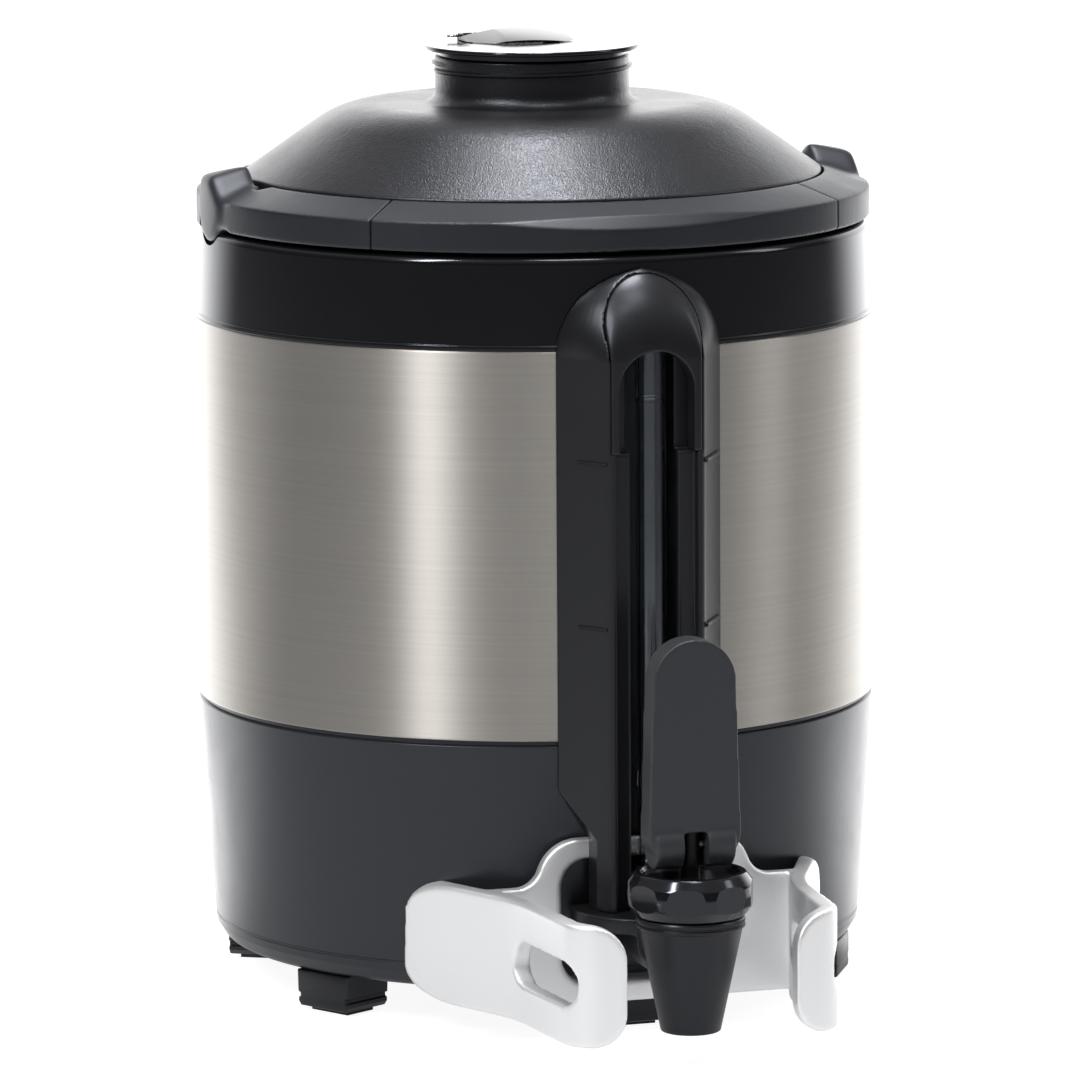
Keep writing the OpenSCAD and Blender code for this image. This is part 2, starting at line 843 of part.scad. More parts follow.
module wing() {
    difference() {
        intersection() {
            translate([0, 0, z_guard]) linear_extrude(guard_h) wing_plan();
            face_on(0, faucet_y + body_r)
                round_rect([wing_tip, z_guard], [wing_rear, z_guard + guard_h], wing_corner);
        }
        side_on(0, body_r) round_rect([slot_from, z_guard + (guard_h - guard_slot_h) / 2],
            [slot_to, z_guard + (guard_h + guard_slot_h) / 2], guard_slot_h / 2 - slip);
    }
}

// Right edge of the back plate in front view: arch corner, hollow fillet, wing top and end
function plate_edge() = let (
    z_wing = z_guard + guard_h,
    corner = [plate_arch_half - plate_corner, z_guard + plate_arch_h - plate_corner],
    reach = plate_corner + plate_fillet,
    lean = asin((z_wing + plate_fillet - corner[1]) / reach),
    hollow = corner + reach * [cos(lean), sin(lean)]
) concat(
    [for (a = [90 : -plate_step : lean]) corner + plate_corner * [cos(a), sin(a)]],
    [for (a = [180 + lean : plate_step : 270]) hollow + plate_fillet * [cos(a), sin(a)]],
    [[plate_half, z_wing], [plate_half, z_guard]]
);

module guard_bracket() {
    edge = plate_edge();
    last = len(edge) - 1;
    color(aluminium) forward() difference() {
        union() {
            left_and_right() wing();
            face_on(plate_back, plate_front) difference() {
                polygon(concat(edge, [for (i = [0 : last]) [-edge[last - i][0], edge[last - i][1]]]));
                round_rect([-window_side, z_guard + window_low],
                    [window_side, z_guard + window_low + guard_window_h], window_corner);
            }
            left_and_right() translate([boss_x, 0, z_shank])
                bar_y(boss_r, boss_y, plate_front - over);
        }
        base_envelope(air);
        left_and_right() translate([boss_x, 0, z_shank])
            bar_y(guard_screw_r + run, boss_y - over, plate_front - guard_skin);
    }
}

module guard_screws() {
    color(steel) forward() left_and_right() translate([boss_x, 0, z_shank]) {
        bar_y(guard_screw_r, boss_floor, plate_front - guard_skin - air);
        bar_y(screw_head_r, boss_floor - screw_head_h, boss_floor);
    }
}

module faucet_body() {
    spout_r = spout_top_d / 2;
    color(black_satin) forward() translate([0, faucet_y, 0]) difference() {
        union() {
            translate([0, 0, z_tip]) cylinder(r1 = spout_tip_d / 2, r2 = spout_r, h = spout_h);
            translate([0, 0, z_spout]) cylinder(r = spigot_out_r, h = spigot_rise);
            for (i = [1, 2]) translate([0, 0, z_spout - i * rib_pitch]) cylinder(r = rib_r, h = rib_h);
            translate([0, -faucet_y, z_shank]) bar_y(elbow_r, elbow_to + slip, faucet_y);
        }
        translate([0, 0, z_seat]) cylinder(r = chamber_r, h = spout_h + spigot_rise);
        translate([0, 0, z_tip - over]) cylinder(r = spout_bore / 2, h = z_seat - z_tip + 2 * over);
        translate([0, -faucet_y, z_shank]) {
            bar_y(shank_r + run, elbow_to - over, elbow_to + shank_in + slip);
            bar_y(shank_bore / 2, elbow_to, faucet_y);
        }
    }
}

module faucet_bonnet() {
    thread_r = spigot_out_r + run;
    color(black_gloss) forward() translate([0, faucet_y, 0]) difference() {
        rotate_extrude() difference() {
            union() {
                translate([0, z_bonnet]) square([bonnet_r - bonnet_round, bonnet_h]);
                translate([0, z_bonnet + bonnet_round]) square([bonnet_r, bonnet_h - 2 * bonnet_round]);
                for (z = [z_bonnet + bonnet_round, z_bonnet_top - bonnet_round])
                    translate([bonnet_r - bonnet_round, z]) circle(bonnet_round);
            }
            translate([-bonnet_r, z_bonnet - over]) square([bonnet_r, bonnet_h + 2 * over]);
            translate([0, z_bonnet - over]) square([thread_r, bonnet_h - bonnet_cap_t + over]);
            translate([0, z_bonnet - over]) square([stem_r + run, bonnet_h + 2 * over]);
            translate([0, z_bonnet_top - bonnet_dish])
                square([bonnet_r - bonnet_round - bonnet_rim, bonnet_h]);
        }
        around(bonnet_flats, 180 / bonnet_flats)
            translate([bonnet_r - flat_in, -bonnet_r, z_bonnet - over])
                cube([bonnet_r, 2 * bonnet_r, bonnet_h + 2 * over]);
    }
}

module faucet_stem() {
    color(dark_steel) forward() translate([0, faucet_y, 0]) difference() {
        union() {
            translate([0, 0, z_stem]) cylinder(r = stem_r, h = z_pin + stem_head - z_stem);
            translate([0, 0, z_collar_ring]) cylinder(r = collar_ring_r, h = collar_ring_h);
        }
        translate([0, 0, z_pin]) bar_x(handle_pin_r + run, -stem_d, stem_d);
    }
}

module seat_cup() {
    color(silicone) forward() translate([0, faucet_y, 0]) difference() {
        translate([0, 0, z_seat + cup_lift]) cylinder(r = cup_r, h = z_collar_ring - z_seat - cup_lift);
        translate([0, 0, z_stem]) cylinder(r = stem_r + run, h = z_collar_ring);
    }
}

// Round wire wound on a helix: ring of points around the wire at each step
function coil_point(i, k, low, pitch) = let (
    turn = 360 * i / spring_steps,
    lean = 360 * k / spring_sides,
    r = spring_r + spring_wire_r * cos(lean)
) [r * cos(turn), r * sin(turn), low + pitch * i / spring_steps + spring_wire_r * sin(lean)];

module faucet_spring() {
    low = z_collar_ring + collar_ring_h + spring_wire_r + slip;
    high = z_bonnet_top - bonnet_cap_t - spring_wire_r - slip;
    last = spring_turns * spring_steps;
    pitch = (high - low) / spring_turns;
    points = [for (i = [0 : last], k = [0 : spring_sides - 1]) coil_point(i, k, low, pitch)];
    walls = [for (i = [0 : last - 1], k = [0 : spring_sides - 1]) let (
        a = i * spring_sides + k,
        b = i * spring_sides + (k + 1) % spring_sides
    ) each [[a, b, a + spring_sides], [b, b + spring_sides, a + spring_sides]]];
    first_end = [for (k = [1 : spring_sides - 2]) [0, k + 1, k]];
    last_end = [for (k = [1 : spring_sides - 2]) [0, k, k + 1] + last * spring_sides * [1, 1, 1]];
    color(steel) forward() translate([0, faucet_y, 0])
        polyhedron(points, concat(walls, first_end, last_end));
}

// Front view of the paddle: round top, flared sides, rounded foot
module paddle_view() {
    top_r = paddle_top_w / 2;
    foot_x = paddle_w / 2 - paddle_foot_r;
    foot_z = z_pin - paddle_foot + paddle_foot_r;
    top_z = z_pin - paddle_foot + paddle_h - top_r;
    translate([0, top_z]) circle(top_r);
    polygon([[-paddle_w / 2, foot_z], [-foot_x, foot_z - paddle_foot_r],
        [foot_x, foot_z - paddle_foot_r], [paddle_w / 2, foot_z], [top_r, top_z], [-top_r, top_z]]);
    for (x = [-foot_x, foot_x]) translate([x, foot_z]) circle(paddle_foot_r);
}

module faucet_handle() {
    color(charcoal) forward() translate([0, faucet_y, 0]) difference() {
        union() {
            face_on(-paddle_back, paddle_t - paddle_back) paddle_view();
            translate([0, 0, z_pin]) bar_x(hub_r, -hub_half, hub_half);
        }
        side_on(-notch_half, notch_half) union() {
            translate([0, z_pin]) circle(notch_r);
            translate([-notch_back, z_pin - 2 * hub_r]) square([4 * hub_r, 2 * hub_r + stem_head]);
        }
        translate([0, 0, z_pin]) bar_x(handle_pin_r + run, -hub_half + hub_skin, hub_half - hub_skin);
    }
}

module handle_pin() {
    pin_half = hub_half - hub_skin - air;
    color(steel) forward() translate([0, faucet_y, z_pin]) bar_x(handle_pin_r, -pin_half, pin_half);
}

// Space that the fixed lug sweeps through in the bail as the bail swings
module lug_sweep() {
    reach = 2 * ear_r;
    half = lug_r + air;
    mid = bail_swing / 2;
    side_on(lug_in - air, lug_in + lug_w + air) translate([0, z_pivot]) union() {
        circle(half + slip);
        for (a = [0, bail_swing]) rotate(a) translate([-half, -reach]) square([2 * half, reach]);
        polygon([[0, 0], [0, -reach], 2 * reach * [sin(mid), -cos(mid)],
            reach * [sin(bail_swing), -cos(bail_swing)]]);
    }
}

module bail_arms() {
    arm_angle = 90 - grip_half_angle;
    color(slate) left_and_right() difference() {
        union() {
            rotate([0, 0, -arm_angle]) rotate_extrude(angle = arm_angle) ring_section(z_ring);
            intersection() {
                translate([0, 0, z_pivot]) bar_x(ear_r, ring_in / 2, body_r);
                tube(ear_out, ring_in - ear_bulge, 0, z_ring_top + ear_d);
            }
        }
        lug_sweep();
        translate([0, 0, z_pivot]) bar_x(bail_pin_d / 2 + run, pin_in - slip, pin_out + slip);
    }
}

// Thumb scoop: everything outside a cone whose axis stands behind the body axis
module scoop() {
    set_back = scoop_spread * scoop_drop / tan(scoop_slope) / (1 - cos(scoop_half_angle));
    rim_r = ring_out + set_back;
    translate([0, set_back, z_ring + bail_face_h - scoop_drop]) rotate_extrude()
        polygon([[rim_r, 0], [rim_r - scoop_rise / tan(scoop_slope), scoop_rise],
            [rim_r + scoop_rise, scoop_rise], [rim_r + scoop_rise, 0]]);
}

module bail_grip() {
    color(slate) difference() {
        rotate([0, 0, -90 - grip_half_angle + grip_gap])
            rotate_extrude(angle = 2 * (grip_half_angle - grip_gap)) ring_section(z_ring);
        scoop();
    }
}

module bail_pins() {
    color(steel) left_and_right() translate([0, 0, z_pivot]) bar_x(bail_pin_d / 2, pin_in, pin_out);
}

// Half section of the dome: flank, rounded shoulder and flat, lowered for the inside
module dome_section(edge_r, low, drop) {
    z_side = z_lid_edge - drop + (lid_r - edge_r) * tan(dome_slope);
    polygon([[0, low], [edge_r, low], [edge_r, z_side], [bend_r, z_bend - drop], [0, z_bend - drop]]);
    intersection() {
        translate([flat_r, z_dome - drop - shoulder_r]) circle(shoulder_r);
        translate([flat_r, z_bend - drop - over])
            square([dome_round_run + over, z_dome - z_bend + 2 * over]);
    }
    translate([0, z_bend - drop - over]) square([flat_r, z_dome - z_bend + over]);
}

module lid_dome() {
    color(black_satin) difference() {
        union() {
            rotate_extrude() difference() {
                dome_section(lid_r, z_skirt, 0);
                translate([-over, 0]) square([over, z_neck]);
                dome_section(lid_r - dome_wall, z_skirt - over, dome_drop);
            }
            translate([0, 0, z_dome - dome_wall]) cylinder(r = neck_r, h = neck_h + dome_wall);
            rotate_extrude() translate([neck_r, z_neck - thread_drop - thread_h])
                polygon([[-over, 0], [0, 0], [thread_out, thread_h / 3],
                    [thread_out, 2 * thread_h / 3], [0, thread_h], [-over, thread_h]]);
            rotate_extrude() difference() {
                translate([neck_r - over, z_dome - over]) square([neck_fillet + over, neck_fillet + over]);
                translate([neck_r + neck_fillet, z_dome + neck_fillet]) circle(neck_fillet);
            }
        }
        translate([0, 0, z_ledge]) cylinder(r = mouth_r, h = z_neck);
        translate([0, 0, z_skirt]) cylinder(r = mouth_r - ledge_w, h = z_neck);
    }
}

module lid_liner() {
    color(black_satin) tube(lid_r - dome_wall - air, tube_r + air, z_skirt, z_skirt + liner_t);
}

module lid_gasket() {
    color(silicone) tube(lid_r - gasket_set, lid_r - gasket_w, z_gasket, z_skirt);
}

// Tube that leads fresh coffee to the bottom, with a funnel that hangs on the neck's ledge
module brew_tube() {
    z_cone = z_ledge - funnel_drop;
    z_rim_top = z_ledge + funnel_rim_h;
    color(black_satin) rotate_extrude() polygon([[tube_r, z_tube_end], [tube_r, z_cone],
        [funnel_cone_r, z_ledge], [funnel_r, z_ledge], [funnel_r, z_rim_top],
        [funnel_r - funnel_wall, z_rim_top], [funnel_r - funnel_wall, z_ledge + funnel_floor],
        [tube_r - funnel_wall, z_cone + funnel_floor], [tube_r - funnel_wall, z_tube_end]]);
}

module stopper() {
    seal_low = z_stopper - plug_l / 2 - seal_h / 2;
    color(black_gloss) difference() {
        union() {
            translate([0, 0, z_disc]) cylinder(r = stopper_r, h = stopper_t);
            translate([0, 0, z_stopper]) cylinder(r = neck_r - over, h = boss_h);
            translate([0, 0, z_stopper - plug_l]) cylinder(r = plug_r, h = plug_l);
            for (x = [flap_left, flap_right - knuckle_w]) difference() {
                side_on(x, x + knuckle_w) union() {
                    translate([hinge_y, z_hinge]) circle(barrel_r);
                    translate([hinge_y - barrel_r, z_disc]) square([2 * barrel_r, z_hinge - z_disc]);
                }
                translate([0, hinge_y, z_hinge]) bar_x(flap_pin_r + run, x - over, x + knuckle_w + over);
            }
        }
        translate([0, 0, z_stopper - plug_l - over]) cylinder(r = plug_r - plug_wall, h = plug_l + over);
        translate([0, hinge_y / 2, z_stopper - over]) cylinder(r = fill_r, h = z_deck);
        tube(plug_r + over, plug_r - seal_depth, seal_low, seal_low + seal_h);
    }
}

module stopper_seal() {
    seal_low = z_stopper - plug_l / 2 - seal_h / 2;
    color(silicone)
        tube(plug_r + slip / 2, plug_r - seal_depth + run, seal_low + run, seal_low + seal_h - run);
}

module flip_flap() {
    low = z_deck + flap_lift;
    barrel_from = flap_left + knuckle_w + air;
    barrel_to = flap_right - knuckle_w - air;
    color(black_gloss) difference() {
        union() {
            face_on(-flap_lip, hinge_y - barrel_r - air) polygon([[flap_left, low], [flap_right, low],
                [flap_right - flap_bevel / 3, low + flap_t], [flap_left + flap_bevel, low + flap_t]]);
            side_on(barrel_from, barrel_to) union() {
                translate([hinge_y, z_hinge]) circle(barrel_r);
                translate([hinge_y - 2 * barrel_r, z_hinge - barrel_r / 2])
                    square([2 * barrel_r, barrel_r]);
            }
        }
        translate([0, hinge_y, z_hinge]) bar_x(flap_pin_r + run, barrel_from - over, barrel_to + over);
    }
}

module flap_pin() {
    pin_from = flap_left - air - wire_r;
    color(steel) translate([0, hinge_y, z_hinge]) {
        bar_x(flap_pin_r, pin_from, flap_right);
        translate([pin_from - eye_r, 0, 0]) rotate_extrude() translate([eye_r, 0]) circle(wire_r);
    }
}

base_housing();
base_plate();
base_feet();
foot_pads();
base_screws();
outer_shell();
top_collar();
rear_rim();
inner_vessel();
insulation_jacket();
outlet_shank();
shank_nut();
shank_seal();
gauge_elbow();
gauge_column();
gauge_cap();
gauge_tube();
gauge_seals();
gauge_screws();
guard_bracket();
guard_screws();
faucet_body();
faucet_bonnet();
faucet_stem();
seat_cup();
faucet_spring();
faucet_handle();
handle_pin();
bail_arms();
bail_grip();
bail_pins();
lid_dome();
lid_liner();
lid_gasket();
brew_tube();
stopper();
stopper_seal();
flip_flap();
flap_pin();
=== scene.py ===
import math
from functools import cache

import bmesh
import bpy
from mathutils import Matrix, Vector


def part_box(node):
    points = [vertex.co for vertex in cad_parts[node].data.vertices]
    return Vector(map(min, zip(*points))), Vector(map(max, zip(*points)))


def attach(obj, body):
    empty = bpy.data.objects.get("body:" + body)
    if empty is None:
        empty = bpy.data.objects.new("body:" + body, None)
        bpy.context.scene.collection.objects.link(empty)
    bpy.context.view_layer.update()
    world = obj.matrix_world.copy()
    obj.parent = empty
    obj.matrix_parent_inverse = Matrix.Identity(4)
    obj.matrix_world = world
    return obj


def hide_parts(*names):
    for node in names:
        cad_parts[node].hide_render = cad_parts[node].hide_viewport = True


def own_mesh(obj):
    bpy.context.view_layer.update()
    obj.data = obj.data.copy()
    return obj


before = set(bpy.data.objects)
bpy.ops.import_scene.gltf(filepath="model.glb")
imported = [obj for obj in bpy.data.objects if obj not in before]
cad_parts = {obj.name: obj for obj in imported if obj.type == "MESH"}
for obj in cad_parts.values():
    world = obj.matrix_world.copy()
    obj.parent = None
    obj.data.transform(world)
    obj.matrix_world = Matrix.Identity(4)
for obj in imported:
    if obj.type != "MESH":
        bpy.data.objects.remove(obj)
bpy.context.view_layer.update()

bl_info = {
    "name": "Coffee Server Builder",
    "version": (1, 0, 0),
    "blender": (4, 5, 0),
    "location": "View3D > Sidebar > Coffee Server",
    "description": "Models and finishes the pieces of an insulated coffee server",
    "category": "Object",
}

# Outlines are written in millimetres, and the scene is in metres
MM = 0.001


def span(node):
    """Lowest and highest corner of a CAD node, in millimetres."""
    low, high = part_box(node)
    return low / MM, high / MM


# Levels and radii of the CAD nodes that the pieces follow
SHELL_LOW, SHELL_HIGH = span("outer_shell")
FOOT_LOW, FOOT_HIGH = span("base_feet")
LID_LOW, LID_HIGH = span("lid_dome")
STOPPER_LOW, STOPPER_HIGH = span("stopper")
FLAP_LOW, FLAP_HIGH = span("flip_flap")
COLUMN_LOW, COLUMN_HIGH = span("gauge_column")
TUBE_LOW, TUBE_HIGH = span("gauge_tube")
SPOUT_LOW, SPOUT_HIGH = span("faucet_body")
BONNET_LOW, BONNET_HIGH = span("faucet_bonnet")
PIN_LOW, PIN_HIGH = span("bail_pins")
BODY_R = SHELL_HIGH.y
Z_BASE = span("base_housing")[0].z
Z_SHELL, Z_COLLAR = SHELL_LOW.z, SHELL_HIGH.z
Z_RIM = span("rear_rim")[0].z
Z_GRIP = span("bail_grip")[1].z
Z_PIVOT = (PIN_LOW.z + PIN_HIGH.z) / 2
FAUCET_Y = (BONNET_LOW.y + BONNET_HIGH.y) / 2

# Inner radius of the bail's ring
RING_IN = LID_HIGH.y + 3.6

# Gauge column: half widths at the body and at the face, front, heel at the body, and back inside it
COLUMN_HALF, FACE_HALF = 27.5, 15.5
COLUMN_FRONT, COLUMN_HEEL, COLUMN_BACK = BODY_R + 16.5, BODY_R - 2.5, 100.0
Z_ARCH = COLUMN_HIGH.z - COLUMN_HALF
Z_CROWN, CROWN_R = COLUMN_HIGH.z - 26, 29.1
Z_CAP = COLUMN_HIGH.z - 57.5
WINDOW_HALF, Z_WINDOW = 12.5, COLUMN_HIGH.z - 25

# How far the column's cutters reach past it, to its sides, and back to inside the body
CUT_PAST, CUT_HALF, CUT_BACK = 9, 40, 90
CUT_FRONT = -COLUMN_FRONT - CUT_PAST


# Modelling helpers
def deselect():
    """Leaves edit mode, with nothing selected."""
    if bpy.context.object and bpy.context.object.mode != "OBJECT":
        bpy.ops.object.mode_set(mode="OBJECT")
    bpy.ops.object.select_all(action="DESELECT")


def choose(piece):
    """Makes a piece the only selected and the active object."""
    deselect()
    piece.select_set(True)
    bpy.context.view_layer.objects.active = piece


def edit(piece):
    """Opens a piece in edit mode with all of it selected."""
    choose(piece)
    bpy.ops.object.mode_set(mode="EDIT")
    bpy.ops.mesh.select_all(action="SELECT")


def placed(name, data):
    """New object in the scene."""
    piece = bpy.data.objects.new(name, data)
    bpy.context.scene.collection.objects.link(piece)
    return piece


def named(name):
    """Gives the active object its name, with its place in its mesh."""
    piece = bpy.context.object
    piece.name = name
    piece.data.name = name
    bpy.ops.object.transform_apply(location=True, rotation=True, scale=True)
    return piece


def close_up():
    """Merges doubles and turns the faces of the piece in edit mode outwards."""
    bpy.ops.mesh.select_all(action="SELECT")
    bpy.ops.mesh.remove_doubles(threshold=1e-7)
    bpy.ops.mesh.delete_loose()
    bpy.ops.mesh.select_all(action="SELECT")
    bpy.ops.mesh.normals_make_consistent(inside=False)
    bpy.ops.object.mode_set(mode="OBJECT")


def unit(value):
    """Value held between nought and one."""
    return min(1.0, max(0.0, value))


def rounded(corners, steps=6):
    """Closed outline whose (x, z, radius) corners are rounded."""
    points = []
    for i, (x, z, radius) in enumerate(corners):
        here = Vector((x, z))
        if radius == 0:
            points.append(here)
            continue
        to_last = (Vector(corners[i - 1][:2]) - here).normalized()
        to_next = (Vector(corners[(i + 1) % len(corners)][:2]) - here).normalized()
        half = to_last.angle(to_next) / 2
        centre = here + (to_last + to_next).normalized() * radius / math.sin(half)
        first = here + to_last * radius / math.tan(half) - centre
        last = here + to_next * radius / math.tan(half) - centre
        points.extend(centre + radius * first.slerp(last, k / steps) for k in range(steps + 1))
    return points


def arc(centre, radius, start, end, steps=10):
    """Points on an arc between two angles in degrees."""
    turns = [math.radians(start + (end - start) * k / steps) for k in range(steps + 1)]
    return [Vector(centre) + radius * Vector((math.cos(a), math.sin(a))) for a in turns]


def held(outline, reach=0.35, least=1.6):
    """Outline with points added near both ends of each long run, so that flat faces shade flat."""
    points = []
    for here, there in zip(outline, list(outline[1:]) + [outline[0]]):
        here, there = Vector(here), Vector(there)
        points.append(here)
        run = there - here
        if run.length > least:
            points.extend([here + run.normalized() * reach, there - run.normalized() * reach])
    return points


def divided(outline, step):
    """Closed outline with points added along each run that is longer than a step."""
    points = []
    for here, there in zip(outline, outline[1:] + outline[:1]):
        count = max(1, math.ceil((there - here).length / step))
        points.extend(here.lerp(there, k / count) for k in range(count))
    return points


def traced(name, points):
    """New piece, left in edit mode: a closed wire drawn point by point in millimetres."""
    deselect()
    bpy.ops.mesh.primitive_plane_add(size=MM, location=points[0] * MM)
    piece = named(name)
    edit(piece)
    bpy.ops.mesh.merge(type="CENTER")
    for here, there in zip(points, points[1:] + points[:1]):
        bpy.ops.mesh.extrude_region_move(TRANSFORM_OT_translate={"value": (there - here) * MM})
    bpy.ops.mesh.select_all(action="SELECT")
    bpy.ops.mesh.remove_doubles(threshold=1e-7)
    return piece


def lathe(name, outline, centre_y=0.0, steps=160):
    """Closed outline of radius and height, spun round an upright axis."""
    piece = traced(name, [Vector((point.x, 0, point.y)) for point in held(outline)])
    bpy.ops.mesh.spin(steps=steps, angle=math.tau, center=(0, 0, 0), axis=(0, 0, 1))
    close_up()
    piece.location.y = centre_y * MM
    choose(piece)
    return named(name)


def slab(name, outline, near, far):
    """Closed outline of x and z points, extruded between two y levels."""
    piece = traced(name, [Vector((x, near, z)) for x, z in outline])
    bpy.ops.mesh.edge_face_add()
    bpy.ops.mesh.extrude_region_move(TRANSFORM_OT_translate={"value": (0, (far - near) * MM, 0)})
    close_up()
    return piece


def modify(piece, kind, **settings):
    """Adds one modifier to a piece and applies it."""
    choose(piece)
    modifier = piece.modifiers.new(kind.title(), kind)
    for key, value in settings.items():
        setattr(modifier, key, value)
    bpy.ops.object.modifier_apply(modifier=modifier.name)


def copied(name, node):
    """New object with a merged copy of a CAD node's mesh."""
    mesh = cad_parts[node].data.copy()
    mesh.name = name
    mesh.materials.clear()
    piece = placed(name, mesh)
    choose(piece)
    bpy.ops.mesh.customdata_custom_splitnormals_clear()
    edit(piece)
    bpy.ops.mesh.remove_doubles(threshold=1e-6)
    bpy.ops.object.mode_set(mode="OBJECT")
    return piece


def soften(piece, voxel, passes, keep=1.0):
    """Rounds every edge of a closed piece: fine voxels, smoothing, then fewer faces."""
    modify(piece, "REMESH", mode="VOXEL", voxel_size=voxel * MM)
    modify(piece, "SMOOTH", factor=0.5, iterations=passes)
    if keep < 1:
        modify(piece, "DECIMATE", ratio=keep)


def softened(name, node, voxel, passes, keep=1.0):
    """Rounded copy of a CAD node."""
    piece = copied(name, node)
    soften(piece, voxel, passes, keep)
    return piece


def cut(piece, cutter, way="DIFFERENCE"):
    """Takes the cutter's shape out of a piece, or keeps only what lies in it."""
    modify(piece, "BOOLEAN", operation=way, object=cutter, solver="EXACT")
    bpy.data.objects.remove(cutter)


def slice_off(piece, point, normal):
    """Cuts away what lies on the normal's side of a plane, and fills the cut."""
    edit(piece)
    bpy.ops.mesh.bisect(plane_co=Vector(point) * MM, plane_no=normal, use_fill=True, clear_outer=True)
    bpy.ops.object.mode_set(mode="OBJECT")


def block(name, low, high):
    """Box between two corners in millimetres."""
    deselect()
    low, high = Vector(low) * MM, Vector(high) * MM
    bpy.ops.mesh.primitive_cube_add(size=1, location=(low + high) / 2, scale=high - low)
    return named(name)


def bar(name, radius, start, end, sides=64):
    """Round bar between two points in millimetres."""
    deselect()
    start, end = Vector(start) * MM, Vector(end) * MM
    along = end - start
    bpy.ops.mesh.primitive_cylinder_add(vertices=sides, radius=radius * MM, depth=along.length,
                                        location=(start + end) / 2,
                                        rotation=along.to_track_quat("Z", "Y").to_euler())
    return named(name)


def pick_out(piece, kind, test):
    """Opens a piece in edit mode with the edges or faces selected that the test accepts."""
    edit(piece)
    bpy.ops.mesh.select_mode(type=kind)
    bpy.ops.mesh.select_all(action="DESELECT")
    shape = bmesh.from_edit_mesh(piece.data)
    for each in shape.edges if kind == "EDGE" else shape.faces:
        each.select_set(test(each))
    bmesh.update_edit_mesh(piece.data)


def bevel_edges(piece, width, segments, pick):
    """Bevels the edges of a piece whose middle and direction the pick function accepts."""
    def test(edge):
        first, last = (vert.co / MM for vert in edge.verts)
        return pick((first + last) / 2, (last - first).normalized())

    pick_out(piece, "EDGE", test)
    bpy.ops.mesh.bevel(offset=width * MM, segments=segments, affect="EDGES")
    bpy.ops.mesh.select_mode(type="VERT")
    bpy.ops.object.mode_set(mode="OBJECT")


def joined(name, pieces):
    """Joins pieces into one object."""
    deselect()
    for piece in pieces:
        piece.select_set(True)
    bpy.context.view_layer.objects.active = pieces[0]
    bpy.ops.object.transform_apply(location=True, rotation=True, scale=True)
    bpy.ops.object.join()
    return named(name)


def settle(piece, body, slot, finish, *nodes, angle=32):
    """Shades a finished piece, gives it its finish, ties it to its body and hides the CAD nodes it stands
    for; the slot argument is not used.
    """
    choose(piece)
    bpy.ops.object.shade_smooth_by_angle(angle=math.radians(angle))
    piece.data.materials.clear()
    piece.data.materials.append(finishes()[finish])
    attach(piece, body)
    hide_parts(*nodes)


# Material helpers
def fill(tree, node, inputs):
    """Sets inputs of a node to values, or links them to sockets."""
    for key, value in inputs.items():
        if isinstance(value, bpy.types.NodeSocket):
            tree.links.new(value, node.inputs[key])
        else:
            node.inputs[key].default_value = value


def add(tree, kind, inputs=None, **settings):
    """Adds a shader node, sets its properties and fills its inputs."""
    node = tree.nodes.new("ShaderNode" + kind)
    for key, value in settings.items():
        setattr(node, key, value)
    fill(tree, node, inputs or {})
    return node


def noise(tree, place, scale, detail=2.0, roughness=0.5):
    """Value of a noise texture."""
    return add(tree, "TexNoise", {"Vector": place, "Scale": scale, "Detail": detail,
                                  "Roughness": roughness}).outputs[0]


def maths(tree, operation, first, second):
    """Result of an operation on two values."""
    return add(tree, "Math", {0: first, 1: second}, operation=operation).outputs[0]


def ramp(tree, value, start, end, low=0.0, high=1.0, kind="SMOOTHSTEP"):
    """Value carried over from one range to another."""
    return add(tree, "MapRange", {"Value": value, "From Min": start, "From Max": end,
                                  "To Min": low, "To Max": high}, interpolation_type=kind).outputs[0]


def mixed(tree, factor, first, second):
    """Value between two values."""
    return add(tree, "Mix", {"Factor": factor, 2: first, 3: second}).outputs[0]


def mixed_colour(tree, factor, first, second):
    """Colour between two colours."""
    return add(tree, "Mix", {"Factor": factor, 6: first, 7: second}, data_type="RGBA").outputs[2]


def new_group(name, inputs, outputs=("Height", "Tone")):
    """Empty shader group with float sockets; returns it with its place, its inputs and its output node."""
    group = bpy.data.node_groups.new(name, "ShaderNodeTree")
    for label, value in inputs.items():
        socket = group.interface.new_socket(label, in_out="INPUT", socket_type="NodeSocketFloat")
        socket.default_value = value
    for label in outputs:
        group.interface.new_socket(label, in_out="OUTPUT", socket_type="NodeSocketFloat")
    place = add(group, "TexCoord").outputs["Object"]
    return group, place, group.nodes.new("NodeGroupInput").outputs, group.nodes.new("NodeGroupOutput")


@cache
def moulded_grain():
    """Fine mould texture and slow tone changes of a plastic piece."""
    group, place, given, out = new_group("Moulded Grain", {"Grain": 1800.0, "Cloud": 28.0})
    fill(group, out, {"Height": noise(group, place, given["Grain"]),
                      "Tone": noise(group, place, given["Cloud"], 3.0)})
    return group


@cache
def pebbled_grain():
    """Small rounded pebbles as on spark-textured plastic."""
    group, place, given, out = new_group("Pebbled Grain", {"Pebbles": 1000.0})
    cells = add(group, "TexVoronoi", {"Vector": place, "Scale": given["Pebbles"]}, feature="SMOOTH_F1")
    height = maths(group, "ADD", cells.outputs["Distance"], noise(group, place, 420.0, 3.0))
    fill(group, out, {"Height": height, "Tone": noise(group, place, 24.0, 3.0)})
    return group


